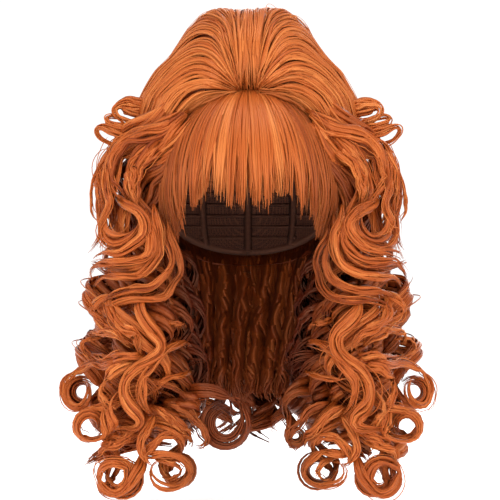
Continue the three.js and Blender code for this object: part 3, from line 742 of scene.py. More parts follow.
def fringe_hair():
    """Clumps of wisps, each of a few strands that draw together towards its tip."""
    dice = dice_for("fringe")
    strands = []
    s = np.linspace(0, 1, 50)
    edges = np.concatenate([[-1], np.linspace(-0.92, 0.92, 15) + dice.normal(0, 0.022, 15), [1]])
    for lift, each, width, thickness, ragged in (
        (-0.0026, 9, 0.0062, 0.0022, 0.001),
        (-0.0008, 10, 0.0044, 0.0018, 0.003),
        (0.0008, 8, 0.0034, 0.001, 0.006),
    ):
        for low, high in zip(edges, edges[1:]):
            low, high = low - 0.012, high + 0.012
            heart = (low + high) / 2 + dice.normal(0, 0.012)
            lean = dice.normal(0, 0.02)
            # painted shade: the tone falls towards the sides; the two lines below raise it near 0.37 and
            # lower it near 0.66 of the half width
            lighter = dice.normal(0.54, 0.05) - 0.08 * ease((abs(heart) - 0.45) / 0.45)
            lighter += 0.12 * math.exp(-(((abs(heart) - 0.37) / 0.08) ** 2))
            lighter -= 0.16 * math.exp(-(((abs(heart) - 0.66) / 0.09) ** 2))
            for i in range(each):
                own = low + (high - low) * (i + dice.uniform(0.2, 0.8)) / each
                hem = fringe_hem(own)
                off = abs(own - heart) / (high - low) * 2
                tip = hem + 0.007 * off**1.5 + ragged * dice.normal() + 0.0005
                draw = dice.uniform(0.25, 0.6) * ease((s - 0.45) / 0.55)
                across = own + (heart - own) * draw + lean * s**2 + 0.007 * wander(dice, s, 0.8)
                if abs(own) > 0.78:
                    across = across * (1 - 0.08 * ease((s - 0.7) / 0.3))
                height = lift + 0.0009 * (1 - off) + 0.0003 * dice.normal()
                breadth = width * dice.uniform(0.75, 1.25)
                tone = np.clip(lighter + 0.055 * dice.normal(), 0, 1)
                strands.append(fringe_strand(dice, across, 0.0105, tip, height, breadth, thickness, tone))
    for _ in range(60):
        own = dice.uniform(-1, 1)
        hem = fringe_hem(own)
        across = own + 0.035 * wander(dice, s, 0.7)
        tip = hem - 0.004 * dice.uniform()
        tone = np.clip(dice.normal(0.6, 0.15), 0, 1)
        strands.append(fringe_strand(dice, across, 0.008, tip, 0.001, 0.0009, 0.0007, tone, 0.3, 16))
    return hair_piece("fringe_hair", strands, hair, ["fringe"])


# ---- Locks ----
# All on the left side, mirrored for the right. A ringlet has its wind and its ring as wound_line
# and ring_spokes take them.
RINGLETS = [
    {"name": "cheek_wave", "wind": (2.85, 0.73, 1.45, 0.42), "width": 1,
     "ring": (0.85, -0.72, 0.82, 0.75, 1, 0.95),
     "spine": [
        ("wall", 0.21, 0.62), (0.55, -0.3, 0.4), (0.56, -0.5, 0.5), (0.56, -0.68, 0.64),
        (0.6, -0.75, 0.78)]},
    {"name": "middle_curl", "wind": (4.2, 0.3, 0.95, 1), "width": 1,
     "ring": (0.67, -0.6, 0.954, 0, -1, 1.05),
     "spine": [
        ("wall", 0.235, 0.5), (0.68, -0.1, 0.46), (0.68, -0.32, 0.62), (0.68, -0.5, 0.82)]},
    {"name": "outer_curl", "wind": (3.1, 0.55, 1.05, 1), "width": 1,
     "ring": (0.91, -0.2, 0.745, 0.5, 1, 0.95),
     "spine": [
        ("wall", 0.265, 0.6), (0.76, 0.06, 0.46), (0.83, -0.02, 0.6), (0.83, -0.1, 0.68)]},
    {"name": "front_curl", "wind": (4.1, 0.8, 0.9, 1), "width": 1,
     "ring": (0.37, -0.6, 0.935, 0, -1, 1.05),
     "spine": [
        ("wall", 0.285, 0.4), (0.46, -0.02, 0.46), (0.45, -0.32, 0.62), (0.41, -0.54, 0.82)]},
    {"name": "side_curl", "wind": (3.7, 0.1, 1, 1), "width": 1,
     "spine": [
        ("wall", 0.3, 0.6), (0.66, 0.28, 0.5), (0.7, 0.24, 0.68), (0.7, 0.16, 0.9)]},
    {"name": "neck_curl", "wind": (3.2, 0.6, 0.65, 1), "width": 0.85,
     "ring": (0.12, -0.6, 0.82, 0.35, 1, 1.35), "left_ring": (0.26, -0.6, 0.85, 0.35, 1, 0.6),
     "spine": [
        ("wall", 0.35, 0.45), (0.37, 0.2, 0.52), (0.34, -0.1, 0.64), (0.26, -0.42, 0.74)]},
    {"name": "shoulder_curl", "wind": (3.5, 0.9, 1, 1), "width": 1,
     "spine": [
        ("wall", 0.385, 0.6), (0.45, 0.6, 0.55), (0.48, 0.56, 0.7), (0.5, 0.5, 0.88)]},
    {"name": "back_curl", "wind": (3.4, 0.4, 0.95, 1), "width": 1,
     "spine": [
        ("wall", 0.45, 0.62), (0.22, 0.84, 0.55), (0.22, 0.8, 0.7), (0.22, 0.76, 0.88)]},
]
MIDDLE_BACK = {
    "name": "back_curl_middle", "wind": (3.4, 0.15, 0.95, 1), "width": 1,
    "spine": [("wall", 0.5, 0.62), (0, 0.88, 0.56), (0, 0.84, 0.71), (0, 0.8, 0.89)],
}

# Locks that sweep back over the sides: name, count of copies, spine.
SWEEPS = [
    ("temple_sweep", 1, [
        ("wall", 0.14, 0.75, 0.03), ("wall", 0.158, 1.04, 0.065), ("wall", 0.195, 1.14, 0.105),
        (0.68, -0.18, 0.15), (0.71, -0.25, 0.2), (0.75, -0.34, 0.26), (0.775, -0.43, 0.31),
        (0.755, -0.51, 0.35), (0.7, -0.57, 0.362), (0.635, -0.61, 0.35), (0.59, -0.63, 0.32),
        (0.6, -0.62, 0.285), (0.66, -0.58, 0.265)]),
    ("temple_wave", 1, [
        ("wall", 0.17, 0.8, 0.085), (0.53, -0.36, 0.12), (0.61, -0.33, 0.16), (0.635, -0.34, 0.21),
        (0.61, -0.38, 0.26), (0.54, -0.43, 0.31), (0.5, -0.5, 0.36), (0.52, -0.6, 0.41),
        (0.62, -0.6, 0.43),
        (0.74, -0.5, 0.43), (0.86, -0.4, 0.41)]),
    ("side_sweep", 2, [
        ("wall", 0.17, 0.9, 0.0), ("wall", 0.19, 1.08, 0.05), (0.7, -0.08, 0.1), (0.775, -0.12, 0.15),
        (0.81, -0.16, 0.2), (0.815, -0.2, 0.25), (0.79, -0.26, 0.3), (0.8, -0.3, 0.35),
        (0.86, -0.32, 0.4)]),
    ("ear_sweep", 2, [
        ("wall", 0.22, 0.9, 0.03), ("wall", 0.225, 1.12, 0.09), (0.75, 0.06, 0.13), (0.815, 0.02, 0.19),
        (0.8, 0.0, 0.26), (0.76, -0.04, 0.32), (0.8, -0.08, 0.38)]),
    ("side_wave", 2, [
        ("wall", 0.27, 0.8, 0.08), ("wall", 0.275, 1.08, 0.16), (0.75, 0.24, 0.24), (0.71, 0.2, 0.32),
        (0.77, 0.16, 0.4), (0.73, 0.12, 0.48)]),
    ("nape_wave", 2, [
        ("wall", 0.32, 0.8, 0.1), ("wall", 0.325, 1.06, 0.18), (0.67, 0.5, 0.26), (0.63, 0.48, 0.34),
        (0.67, 0.44, 0.42), (0.63, 0.4, 0.5)]),
]

# The three open loops that stand out beside the crown, each a ribbon of hair: its count of
# strands, then its spine with half its breadth in metres and how far its broad face turns to the
# front there.
LOOPS = [
    (14, [
        (0.569, 0.03, 0.026, 0.0088, 0.9), (0.613, 0.02, 0.0215, 0.0088, 0.9),
        (0.673, 0.01, 0.0165, 0.0078, 0.85), (0.714, -0.01, 0.0195, 0.0052, 0.6),
        (0.73, -0.04, 0.0317, 0.003, 0.4), (0.711, -0.06, 0.0469, 0.003, 0.4),
        (0.676, -0.06, 0.057, 0.0034, 0.6), (0.635, -0.04, 0.0671, 0.0046, 0.8),
        (0.58, 0.0, 0.076, 0.005, 0.9)]),
    (10, [
        (0.6, 0.03, 0.0585, 0.002, 0.4), (0.656, 0.02, 0.053, 0.0014, 0.3),
        (0.706, 0.0, 0.048, 0.0014, 0.3), (0.755, -0.03, 0.0443, 0.0016, 0.3),
        (0.78, -0.06, 0.0507, 0.002, 0.4), (0.769, -0.08, 0.062, 0.003, 0.7),
        (0.722, -0.08, 0.071, 0.004, 0.9), (0.667, -0.06, 0.0785, 0.005, 1.0),
        (0.602, -0.02, 0.086, 0.006, 1.0)]),
    (10, [
        (0.735, 0.02, 0.119, 0.0008, 0.3), (0.77, 0.0, 0.1105, 0.0005, 0.3),
        (0.805, -0.02, 0.1, 0.0005, 0.3), (0.829, -0.04, 0.085, 0.001, 0.3),
        (0.826, -0.06, 0.0745, 0.0018, 0.4), (0.8, -0.08, 0.0722, 0.003, 0.7),
        (0.755, -0.09, 0.0785, 0.0044, 1.0), (0.7, -0.08, 0.086, 0.0052, 1.0),
        (0.635, -0.05, 0.0945, 0.006, 1.0), (0.569, 0.0, 0.102, 0.006, 1.0)]),
]

# Locks over and under the temple sweeps: width, tone, shade, spine. The locks that lie under have a low
# tone and shade, painted shade.
TEMPLE_LOCKS = [
    (1.0, 0.46, 1.0, [  # sweep_inside
        ("wall", 0.13, 0.85, 0.05), ("wall", 0.155, 1.02, 0.1), ("wall", 0.185, 1.08, 0.15),
        (0.64, -0.22, 0.2), (0.66, -0.3, 0.26), (0.7, -0.38, 0.32), (0.7, -0.42, 0.38),
        (0.62, -0.46, 0.42)]),
    (1.2, 0.3, 0.55, [  # temple_under
        ("wall", 0.15, 0.6, 0.1), ("wall", 0.165, 0.9, 0.16), (0.54, -0.34, 0.22), (0.57, -0.36, 0.28),
        (0.52, -0.4, 0.34), (0.47, -0.44, 0.4), (0.46, -0.46, 0.46)]),
    (1.3, 0.3, 0.55, [  # ear_under
        ("wall", 0.2, 0.6, 0.12), ("wall", 0.21, 0.95, 0.2), (0.66, -0.12, 0.27), (0.62, -0.18, 0.34),
        (0.66, -0.24, 0.42), (0.62, -0.28, 0.5)]),
    (1.4, 0.3, 0.55, [  # side_under
        (0.56, 0.06, 0.08), (0.635, 0.08, 0.14), (0.665, 0.08, 0.19), (0.685, 0.06, 0.24),
        (0.67, 0.03, 0.3), (0.62, 0.0, 0.37)]),
]

# The ringlets that the curls between and behind them lie between.
UNDER_PAIRS = [
    ("cheek_wave", "middle_curl"), ("middle_curl", "outer_curl"), ("cheek_wave", "front_curl"),
    ("front_curl", "middle_curl"), ("front_curl", "neck_curl"), ("outer_curl", "side_curl"),
    ("side_curl", "neck_curl"), ("side_curl", "shoulder_curl"), ("neck_curl", "shoulder_curl"),
    ("shoulder_curl", "back_curl"), ("back_curl", "back_curl_middle"),
]


def side_name(side):
    return "left" if side > 0 else "right"


def ringlet_hair(lock, side, node):
    dice = dice_for(node)
    way = ringlet_way(lock, side, dice)
    rings = int(17 * lock["wind"][0]) + (14 if "ring" in lock else 0)
    strands = lock_of_hair(dice, way, LOCK_WIDTH * lock["width"], LOCK_THICKNESS, rings, 3, 6)
    return hair_piece(node + "_hair", strands, hair, [node])


def copy_of(points, dice, k):
    return points + dice.normal(0, COPY_SHAKE, points.shape) - COPY_STEP * k


def sweep_hair(spine, copies, side, node):
    dice = dice_for(node)
    points = spine_points(spine)
    strands = []
    for k in range(copies):
        way = laid_way(copy_of(points, dice, k) if k else points, side)
        strands += lock_of_hair(dice, way, LOCK_WIDTH, LOCK_THICKNESS, 42, 3, 5)
    return hair_piece(node + "_hair", strands, hair, [node])


def loops_hair(side, node):
    """The loops that stand off the crown, each a ribbon of strands that narrows where it turns."""
    dice = dice_for(node)
    strands = []
    for count, rows in LOOPS:
        points = spine_points(rows)
        line = smooth_line(points)
        knots, fine = np.linspace(0, 1, len(rows)), np.linspace(0, 1, len(line))
        half, face = (np.interp(fine, knots, [row[k] for row in rows])[:, None] for k in (3, 4))
        radial = unit((line - points.mean(axis=0)) * np.array([1, 0, 1]))
        way = way_of(line, radial * (1 - face) + np.array([0.0, -1.0, 0.0]) * face, 60, side=side)
        _, halves = evenly(line, STATIONS, np.repeat(half, 3, axis=1))
        for i in range(count):
            place = (i + 0.5) / count * 2 - 1
            t = np.linspace(dice.uniform(0, 0.01), dice.uniform(0.98, 1), 44)
            half_there = np.interp(t, np.linspace(0, 1, STATIONS), halves[:, 0])
            across = half_there * (place + 0.12 * wander(dice, t, 2.2))
            through = 0.0012 * (dice.normal() + 0.6 * wander(dice, t, 2))
            width = np.maximum(half_there * 2 / count * dice.uniform(2.4, 3.2), 0.0012)
            tone = np.clip(dice.normal(0.72, 0.1) - 0.14 * abs(place), 0, 1)
            strands.append(strand_on(way, t, across, through, width, 0.0013, tone, (0.05, 0.05)))
    return hair_piece(node + "_hair", strands, hair, [node])


def small_curl(dice, spine, wind, side, widths, tone, shade):
    """The strands of a curl without a ring, its width drawn from between two shares."""
    way = way_of(*wound_line(spine, wind), 10, side=side)
    width = LOCK_WIDTH * dice.uniform(*widths)
    return lock_of_hair(dice, way, width, LOCK_THICKNESS, int(11 * wind[0]), 2, 4, 0, tone, shade)


def under_curls(side, node):
    """Curls between and behind the outer ones: each spine lies between two neighbours' spines."""
    dice = dice_for(node)
    spines = {}
    for lock in [*RINGLETS, MIDDLE_BACK]:
        (spines[lock["name"]],) = evenly(smooth_line(spine_points(lock["spine"])), 5)
    strands = []
    for first, second in UNDER_PAIRS:
        for k in range(3):
            share = (k + dice.uniform(0.2, 0.8)) / 3
            spine = spines[first] * (1 - share) + spines[second] * share
            tucked = 1.05 if first == "back_curl" else dice.uniform(0.84, 1.0)
            spine[:, :2] *= np.linspace(1.0, tucked, len(spine))[:, None]
            spine[:, 0] = np.maximum(spine[:, 0], 0)
            spine[-1, 2] += dice.uniform(-0.012, 0.03)
            spine[:, :2] += dice.normal(0, 0.004, (len(spine), 2))
            wind = (
                dice.uniform(2.6, 4.4), dice.uniform(), dice.uniform(0.55, 1.0), dice.uniform(0.7, 1.0),
            )
            # painted shade: these curls lie behind, so their tone and shade are set low
            strands += small_curl(dice, spine, wind, side, (0.6, 0.95), 0.3, 0.8)
    return hair_piece(node, strands, hair)


def end_curls(side, node):
    """Short curls that fill out the mass between and behind the rings at the tips."""
    dice = dice_for(node)
    strands = []
    count = 11
    for k in range(count):
        across = 0.27 + 0.5 * (k + dice.uniform(0.1, 0.9)) / count
        along = dice.uniform(-0.5, -0.05)
        top = dice.uniform(0.7, 0.78)
        tip = dice.uniform(0.86, 0.94) - 0.1 * ease((0.5 - across) / 0.2)
        spine = spine_points([
            (across, along, top),
            (across + dice.uniform(-0.03, 0.05), along - 0.03, (top + tip) / 2),
            (across + dice.uniform(-0.06, 0.08), along, tip),
        ])
        wind = (dice.uniform(1.4, 2.2), dice.uniform(), dice.uniform(0.6, 0.9), 1)
        # painted shade: a lower tone and shade for curls that lie between and behind the rings
        strands += small_curl(dice, spine, wind, side, (0.6, 0.85), 0.38, 0.9)
    return hair_piece(node, strands, hair)


def temple_locks(side, node):
    dice = dice_for(node)
    strands = []
    for width, tone, shade, spine in TEMPLE_LOCKS:
        points, breadth = spine_points(spine), LOCK_WIDTH * width
        for k in range(2):
            way = laid_way(copy_of(points, dice, k), side)
            strands += lock_of_hair(dice, way, breadth, LOCK_THICKNESS, 38, 3, 5, 1, tone, shade)
    return hair_piece(node, strands, hair)


# How far forward the curls reach, as shares of the hair's reach: a row for each share of its
# drop, with columns at 0.3, 0.5, 0.7 and 0.9 of its spread.
FRONT_COLUMNS = (0.3, 0.5, 0.7, 0.9)
HAIR_FRONT = {
    0.0: (0.55, 0.33, 0.1, 0.0),
    0.1: (0.5, 0.4, 0.22, 0.05),
    0.2: (0.5, 0.44, 0.32, 0.15),
    0.3: (0.48, 0.64, 0.62, 0.22),
    0.4: (0.48, 0.66, 0.62, 0.3),
    0.5: (0.44, 0.7, 0.64, 0.3),
    0.6: (0.5, 0.82, 0.7, 0.3),
    0.7: (0.58, 0.86, 0.78, 0.34),
    0.8: (0.62, 0.84, 0.82, 0.64),
    0.95: (0.64, 0.7, 0.72, 0.58),
}
# The locks that lie outermost at the front: name, width, and (across, down) along each, as
# thousandths of the hair's spread and drop.
FRONT_LOCKS = [
    ("temple_bow", 0.015, [(336, 43), (454, 79), (567, 91), (651, 111), (713, 140), (741, 172),
        (733, 211), (706, 241), (662, 266)]),
    ("temple_inner_bow", 0.014, [(420, 91), (511, 118), (580, 150), (629, 185), (644, 211), (637, 241),
        (624, 274)]),
    ("temple_deep_bow", 0.012, [(432, 109), (509, 139), (574, 175), (602, 210), (607, 243), (596, 281)]),
    ("hook_wave", 0.01, [(717, 248), (678, 266), (635, 279), (580, 295), (546, 322), (553, 347),
        (602, 373), (678, 389), (748, 389), (818, 399), (848, 416)]),
    ("hook_outer", 0.008, [(728, 122), (766, 160), (771, 223), (744, 276), (769, 308), (797, 337),
        (790, 360), (744, 378), (689, 375), (635, 357)]),
    ("outer_stray", 0.003, [(777, 137), (818, 179), (848, 215), (853, 257), (839, 295), (810, 318)]),
    ("outer_wave", 0.008, [(733, 118), (782, 160), (810, 198), (810, 237), (791, 274), (793, 307)]),
    ("cheek_line", 0.007, [(432, 304), (420, 354), (392, 380), (364, 412), (364, 441), (392, 473),
        (449, 499), (539, 512), (637, 509), (720, 518), (766, 542), (771, 573)]),
    ("cheek_line_inner", 0.008, [(470, 299), (454, 350), (420, 386), (414, 418), (449, 451), (511, 476),
        (609, 486), (706, 489), (777, 512), (788, 542)]),
    ("cheek_fall", 0.009, [(509, 274), (497, 314), (469, 354), (469, 393), (511, 425), (595, 447),
        (693, 451), (782, 454), (846, 484)]),
    ("cheek_back_fall", 0.01, [(558, 284), (539, 321), (511, 360), (539, 393), (623, 412), (720, 415),
        (799, 418), (846, 438), (853, 476)]),
    ("long_wave", 0.013, [(569, 492), (589, 514), (589, 537), (531, 571), (472, 599), (472, 629),
        (531, 656), (596, 680), (648, 707), (662, 741), (633, 772), (574, 792), (560, 809), (604, 826),
        (677, 829), (766, 833)]),
    ("side_fall", 0.011, [(678, 497), (749, 507), (747, 531), (721, 561), (662, 582), (604, 598),
        (574, 622), (569, 644)]),
    ("side_tuft", 0.009, [(700, 507), (766, 504), (826, 519), (842, 537), (824, 552), (777, 573),
        (711, 590), (656, 608), (613, 628)]),
    ("side_tuft_low", 0.009, [(613, 626), (656, 603), (722, 590), (788, 585), (837, 593), (848, 608),
        (837, 623)]),
    ("small_ring", 0.0035, [(788, 608), (842, 608), (881, 613), (903, 628), (892, 646), (853, 656),
        (815, 656)]),
    ("sweep_out", 0.009, [(558, 634), (596, 651), (677, 646), (765, 656), (815, 654), (853, 644)]),
    ("middle_fall", 0.012, [(591, 664), (656, 669), (722, 684), (766, 710), (782, 740), (755, 765),
        (706, 786)]),
    ("ring_feed", 0.009, [(624, 654), (706, 664), (777, 674), (832, 669), (882, 677), (941, 694),
        (982, 720), (985, 750), (952, 773), (903, 778), (864, 760), (859, 735), (881, 712), (925, 707)]),
    ("low_ring", 0.009, [(667, 760), (717, 770), (777, 773), (837, 782), (892, 798), (914, 819),
        (890, 841), (832, 851), (771, 846), (739, 834)]),
    ("neck_hook", 0.006, [(449, 565), (405, 565), (356, 570), (317, 585)]),
    ("neck_wave", 0.009, [(317, 626), (345, 616), (399, 622), (457, 649), (516, 677), (558, 707),
        (569, 740), (542, 770), (498, 796)]),
    ("neck_strand", 0.005, [(306, 689), (350, 694), (414, 704), (476, 707), (525, 704)]),
    ("deep_ring", 0.009, [(503, 796), (542, 826), (569, 857), (569, 887), (536, 912), (492, 922)]),
    ("end_curl", 0.01, [(339, 872), (361, 854), (405, 846), (465, 851), (514, 869), (542, 892),
        (531, 915)]),
    ("end_ring", 0.008, [(569, 882), (525, 889), (465, 886), (399, 891), (331, 911), (304, 938),
        (334, 963), (405, 972), (476, 960), (509, 938), (492, 915), (438, 907)]),
    ("end_ring_inner", 0.005, [(509, 897), (438, 905), (383, 917), (367, 938), (405, 953), (465, 950)]),
    ("round_end", 0.012, [(569, 882), (580, 912), (602, 943), (640, 971), (700, 988), (766, 981),
        (801, 958), (799, 930), (755, 910), (695, 910), (651, 927), (646, 953), (684, 971), (739, 963),
        (755, 943), (722, 926)]),
    ("round_feed", 0.009, [(591, 841), (646, 857), (706, 869), (766, 877), (788, 897), (782, 922)]),
    ("low_fall", 0.01, [(569, 826), (624, 841), (678, 851), (744, 857), (788, 869)]),
    ("inner_fall", 0.01, [(502, 775), (427, 798), (361, 826), (311, 853), (295, 879)]),
    ("neck_turn", 0.008, [(427, 768), (339, 785), (282, 812), (237, 836), (224, 857), (252, 874),
        (295, 869)]),
]


def front_at(across, down):
    """How far forward the curls reach at a place seen from the front, in metres."""
    rows = [np.interp(across, FRONT_COLUMNS, row) for row in HAIR_FRONT.values()]
    return -HAIR_REACH * float(np.interp(down, list(HAIR_FRONT), rows))


def front_locks(side, node):
    """The outermost locks, each a ribbon that turns its face outwards where it bends."""
    strands = []
    for name, width, places in FRONT_LOCKS:
        dice = dice_for(name + side_name(side))
        points = np.array([
            (across * HAIR_SPREAD, front_at(across, down), -down * HAIR_DROP)
            for across, down in np.array(places) / 1000
        ])
        points[:, 1] += softened(0.003 * dice.normal(size=len(points)), 1) - 0.002
        points[0, 1] += 0.018
        points[1, 1] += 0.005
        points += dice.normal(0, 0.0008, points.shape)
        (line,) = evenly(smooth_line(points), STATIONS)
        line = softened(line, 150)
        step = np.linalg.norm(line[1] - line[0])
        bend = softened(np.gradient(np.gradient(line, axis=0), axis=0) / step**2, 40)
        outward = -0.011 * bend + np.array([0.25, -1.0, 0.12])
        way = way_of(line, outward, 15, side=side)
        rings = int(np.clip(way["length"] / 0.0052, 14, 60))
        tresses = 2 if width < 0.007 else 3
        strands += lock_of_hair(dice, way, width * 1.25, 0.0035 + 0.12 * width, rings, tresses, 5, 2, 0.5)
    return hair_piece(node, strands, hair)


LOWEST_WALL = -0.15  # the lowest height at which the falls look for the crown's wall


def back_falls():
    """Locks that leave the crown above its hem, round the back, and wave down among the curls."""
    dice = dice_for("back_falls")
    strands = []
    count = 27
    for k in range(count):
        turn = 0.28 + 0.44 * (k + dice.uniform(0.2, 0.8)) / count
        top = -dice.uniform(0.075, 0.115)
        hem = float(hem_height(turn))
        points = []
        for level, share in ((top, 0.9), (top - 0.02, 1.02), (hem + 0.012, 1.06), (hem - 0.006, 1.1)):
            point = wall_point(turn + 0.004 * dice.normal(), max(level, LOWEST_WALL), share)
            points.append(np.array([point[0], point[1], level]))
        outward = unit(points[-1] * np.array([1, 1, 0]))
        sideways = np.array([-outward[1], outward[0], 0])
        swing = dice.choice([-1, 1])
        for step in range(1, 7):
            sway = sideways * (0.009 * swing * (-1) ** step)
            away = outward * (0.012 * ease(step / 3))
            points.append(points[3] + sway + away - np.array([0, 0, 0.0135 * step]))
        line = smooth_line(points)
        way = way_of(line, np.tile(outward, (len(line), 1)), passes=20)
        strands += lock_of_hair(dice, way, LOCK_WIDTH * dice.uniform(0.8, 1.1), 0.0055, 32, 3, 4, 1, 0.46)
    return hair_piece("back_falls", strands, hair)


def rim_height(turn):
    """The height of the cap's rim at a turn round the head."""
    height = -(RIM_FRONT + RIM_NAPE) / 2
    for _ in range(12):
        narrowed = math.sqrt(max(0.01, 1 - ((height + HEAD[2]) / HEAD[2]) ** 2))
        tilt = (RIM_NAPE - RIM_FRONT) / 2 * narrowed
        height = -(RIM_FRONT + RIM_NAPE) / 2 + tilt * math.cos(2 * math.pi * turn)
    return height


def nape_hair():
    """Softly waved hair that hangs from under the cap's rim behind the neck, in tresses."""
    dice = dice_for("nape")
    strands = []
    down = np.linspace(0, 1, 90)
    tresses, each = 15, 4
    for depth in (-0.0042, -0.003, 0.003):
        for tress in range(tresses):
            swing = 0.5 * wander(dice, down, 2.2)
            surge = wander(dice, down, 2.6)
            cut = dice.uniform(0.98, 1.05)
            lighter = dice.normal(0.38, 0.08)
            for i in range(each):
                share = (tress + (i + dice.uniform(0.2, 0.8)) / each) / tresses - 0.5
                turn = 0.5 - share * NAPE_TURN
                top = rim_height(turn) - 0.002
                begin = wall_point(turn, top, 0.1)
                root = wall_point(turn, float(hem_height(turn)) + HEM_BURY, 0.18)
                outward = unit(root * np.array([1, 1, 0]))
                sideways = np.cross(outward, UP)
                scale = 1 - (1 - NAPE_NARROWING) * down
                grown, away = ease(down / 0.3), ease(down / 0.12)[:, None]
                points = (begin * (1 - away) + (root * scale[:, None]) * away) * np.array([1, 1, 0])
                sway = grown * (0.007 * swing + 0.0015 * wander(dice, down, 3.0))
                place = share + sway / (2 * math.pi * NAPE_TURN * np.hypot(root[0], root[1]))
                ripple = NAPE_RIPPLE * np.minimum(1, 2 * down) * np.cos(
                    2 * math.pi * NAPE_WAVES * (place + 0.5 + 0.1 * down)
                )
                off = depth + 0.0006 * surge
                points += outward * (ripple + grown * off)[:, None] + sideways * sway[:, None]
                fall = (NAPE_REACH * HAIR_DROP + top) * down * cut * dice.uniform(0.97, 1.02)
                points[:, 2] = top - fall
                way = way_of(points, np.tile(outward, (len(down), 1)))
                t = np.linspace(0, 1, 36)
                width, own = 0.0075 * dice.uniform(0.6, 1.2), np.clip(lighter + 0.1 * dice.normal(), 0, 1)
                strands.append(strand_on(way, t, 0 * t, 0 * t, width, 0.0022, own, (0.05, 0.25)))
    return hair_piece("nape_hair_hair", strands, hair, ["nape_hair"])


# ---- Cap ----
def net_finish():
    """Fine hexagonal net of matt brown thread."""
    material, tree, shader = material_with("cap_net")
    link = tree.links.new
    place = add_node(tree, "ShaderNodeTexCoord")
    holes = add_node(
        tree, "ShaderNodeTexVoronoi", {"Scale": 620.0, "Randomness": 0.25}, feature="DISTANCE_TO_EDGE"
    )
    link(place.outputs["Object"], holes.inputs["Vector"])
    thread = ramp_of(
        tree, holes.outputs["Distance"], (0.06, (0.16, 0.05, 0.022)), (0.2, (0.035, 0.01, 0.005))
    )
    link(thread, shader.inputs["Base Color"])
    bump_from(tree, shader, holes.outputs["Distance"], 0.8, 0.0005, invert=True)
    shader.inputs["Roughness"].default_value = 0.85
    return material


def tape_finish():
    """Ribbed elastic tape and thread of a warm brown."""
    material, tree, shader = material_with("cap_tape")
    link = tree.links.new
    uv = add_node(tree, "ShaderNodeUVMap", uv_map="strand")
    ribs = add_node(
        tree, "ShaderNodeTexWave", {"Scale": 260.0, "Distortion": 0.6, "Detail": 1.0}, bands_direction="Y"
    )
    link(uv.outputs["UV"], ribs.inputs["Vector"])
    shades = ramp_of(tree, ribs.outputs["Fac"], (0.0, (0.06, 0.018, 0.008)), (1.0, (0.19, 0.062, 0.028)))
    link(shades, shader.inputs["Base Color"])
    bump_from(tree, shader, ribs.outputs["Fac"], 0.5, 0.0003)
    shader.inputs["Roughness"].default_value = 0.8
    return material


def cap_line(turns, heights, inset):
    """Points inside the cap, a little in from its wall."""
    level = (heights + HEAD[2]) / HEAD[2]
    narrowed = np.sqrt(np.clip(1 - level**2, 0.01, 1))
    angle = 2 * math.pi * turns
    across = (HEAD[0] - inset) * narrowed * np.sin(angle)
    along = -(HEAD[1] - inset) * narrowed * np.cos(angle)
    return np.stack([across, along, heights], axis=1)


def tape(line, width, thickness, rings, zigzag=0.0, teeth=0):
    """A flat tape along a line, or a thread that zigzags along it."""
    way = way_of(line, -(line + np.array([0, 0, HEAD[2]])))
    t = np.linspace(0, 1, rings)
    teeth = np.abs((t * teeth) % 1 - 0.5) * 4 - 1 if teeth else 0 * t
    band = strand_on(way, t, zigzag * teeth, 0 * t, width, thickness, 0.5)
    band["width"], band["thickness"] = np.full(rings, width), np.full(rings, thickness)
    return band


def cap_tapes():
    """Rows of weft sewn across the back of the cap, the tapes that hold them, and its bound rim."""
    bands = []
    for height in np.arange(-0.14, -0.02, 0.0105):
        turns = np.linspace(0.5, 0.12, 200)
        inside = [turn for turn in turns if height > rim_height(turn) + 0.006]
        if len(inside) < 20:
            continue
        turns = np.linspace(1 - inside[-1], inside[-1], 160)
        level = np.full(len(turns), height)
        bands.append(tape(cap_line(turns, level, 0.0006), 0.0034, 0.0014, 60))
        bands.append(tape(cap_line(turns, level, 0.0014), 0.0007, 0.0007, 240, 0.0012, 60))
    for turn in (0.3, 0.4, 0.5, 0.6, 0.7):
        heights = np.linspace(rim_height(turn), -0.016, 80)
        bands.append(tape(cap_line(np.full(len(heights), turn), heights, 0.0016), 0.0085, 0.001, 40))
    turns = np.linspace(0.5, 1.505, 260)
    heights = np.array([rim_height(turn) for turn in turns])
    bands.append(tape(cap_line(turns, heights + 0.001, -0.0006), 0.0085, 0.0042, 160))
    piece = hair_piece("cap_tapes", bands, tape_finish())
    return piece


def cap_net():
    """The net cap: a ball shaped to the head, cut under a plane from forehead to nape."""
    bpy.ops.mesh.primitive_uv_sphere_add(segments=72, ring_count=40, radius=1)
    cap = bpy.context.object
    cap.name = cap.data.name = "cap_net"
    cap.scale = HEAD + CAP_WALL
    cap.location = (0, 0, -HEAD[2])
    bpy.ops.object.transform_apply(location=True, scale=True)
    bpy.ops.object.mode_set(mode="EDIT")
    bpy.ops.mesh.select_all(action="SELECT")
    bpy.ops.mesh.bisect(
        plane_co=(0, 0, -(RIM_FRONT + RIM_NAPE) / 2),
        plane_no=(0, (RIM_NAPE - RIM_FRONT) / (2 * HEAD[1]), 1),
        clear_inner=True,
    )
    bpy.ops.object.mode_set(mode="OBJECT")
    wall = cap.modifiers.new("wall", "SOLIDIFY")
    wall.thickness = CAP_WALL
    wall.offset = -1
    bpy.ops.object.modifier_apply(modifier="wall")
    bpy.ops.object.shade_smooth()
    cap.data.materials.append(net_finish())
    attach(cap, "root")
    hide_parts("wig_cap")
    return cap


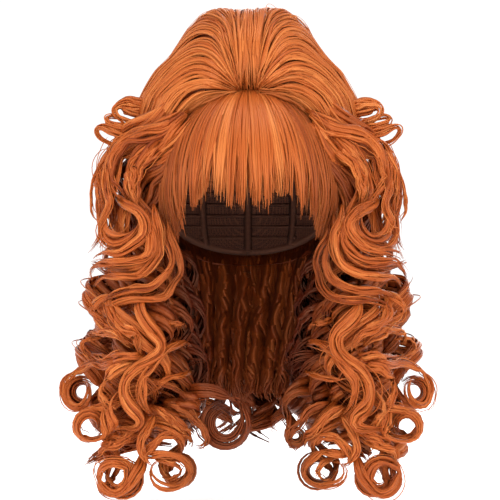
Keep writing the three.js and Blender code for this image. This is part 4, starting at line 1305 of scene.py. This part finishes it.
core_of("crown", 0.0035, rolled=True)
core_of("nape_hair", 0.0006)
crown_hair()
crown_flyaways()
fringe_hair()
cap_net()
cap_tapes()
for side in (-1, 1):
    for name, copies, spine in SWEEPS:
        sweep_hair(spine, copies, side, f"{name}_{side_name(side)}")
    for name, make in (
        ("temple_loops", loops_hair), ("temple_locks", temple_locks), ("under_curls", under_curls),
        ("end_curls", end_curls), ("front_locks", front_locks),
    ):
        make(side, f"{name}_{side_name(side)}")
    for lock in RINGLETS:
        ringlet_hair(lock, side, f"{lock['name']}_{side_name(side)}")
ringlet_hair(MIDDLE_BACK, 1, "back_curl_middle")
nape_hair()
back_falls()


# ---- Floor, light and camera ----
FLOOR = -0.3745  # the floor's height, in metres
SENSOR = 36  # breadth of the camera's sensor, in millimetres
FACE_DISTANCE, VIEW_SPAN = 2.94, 0.465  # metres to the face, and seen across the picture there


def studio():
    """A white floor under a pale sky, four soft lights, and the camera where the photograph's stood."""
    bpy.ops.mesh.primitive_plane_add(size=12, location=(0, 0, FLOOR))
    floor = bpy.context.object
    floor.name = "studio_floor"
    material, tree, shader = material_with("pale_floor")
    shader.inputs["Base Color"].default_value = (0.92, 0.92, 0.92, 1)
    shader.inputs["Roughness"].default_value = 0.9
    shader.inputs["Emission Color"].default_value = (1, 1, 1, 1)
    shader.inputs["Emission Strength"].default_value = 0.6
    floor.data.materials.append(material)
    world = bpy.data.worlds.new("studio")
    world.use_nodes = True
    tree = world.node_tree
    direction = add_node(tree, "ShaderNodeTexCoord")
    parts = add_node(tree, "ShaderNodeSeparateXYZ")
    tree.links.new(direction.outputs["Generated"], parts.inputs["Vector"])
    fall = ramp_of(tree, parts.outputs["Z"], (0.1, (1, 1, 1)), (0.6, (0.42, 0.42, 0.43)))
    tree.links.new(fall, tree.nodes["Background"].inputs["Color"])
    tree.nodes["Background"].inputs["Strength"].default_value = 1.08
    bpy.context.scene.world = world
    for name, place, size, watts in [
        ("key_light", (-0.9, -1.8, 0.9), 1.2, 16),
        ("fill_light", (1.2, -1.7, 0.6), 1.2, 12),
        ("top_light", (0.0, -0.3, 1.6), 1.0, 12),
        ("back_light", (0.5, 1.9, 0.8), 1.2, 16),
    ]:
        bpy.ops.object.light_add(type="AREA", location=place)
        lamp = bpy.context.object
        lamp.name = name
        lamp.data.size = size
        lamp.data.energy = watts
        aim = -(lamp.location - type(lamp.location)((0, 0, -0.12)))
        lamp.rotation_euler = aim.to_track_quat("-Z", "Y").to_euler()
    bpy.ops.object.camera_add(location=(0.0019, -2.96, -0.1414), rotation=(math.pi / 2, 0, 0))
    camera = bpy.context.object
    camera.data.sensor_width = SENSOR
    camera.data.lens = SENSOR * FACE_DISTANCE / VIEW_SPAN
    bpy.context.scene.camera = camera
    bpy.context.scene.view_settings.view_transform = "Standard"


studio()
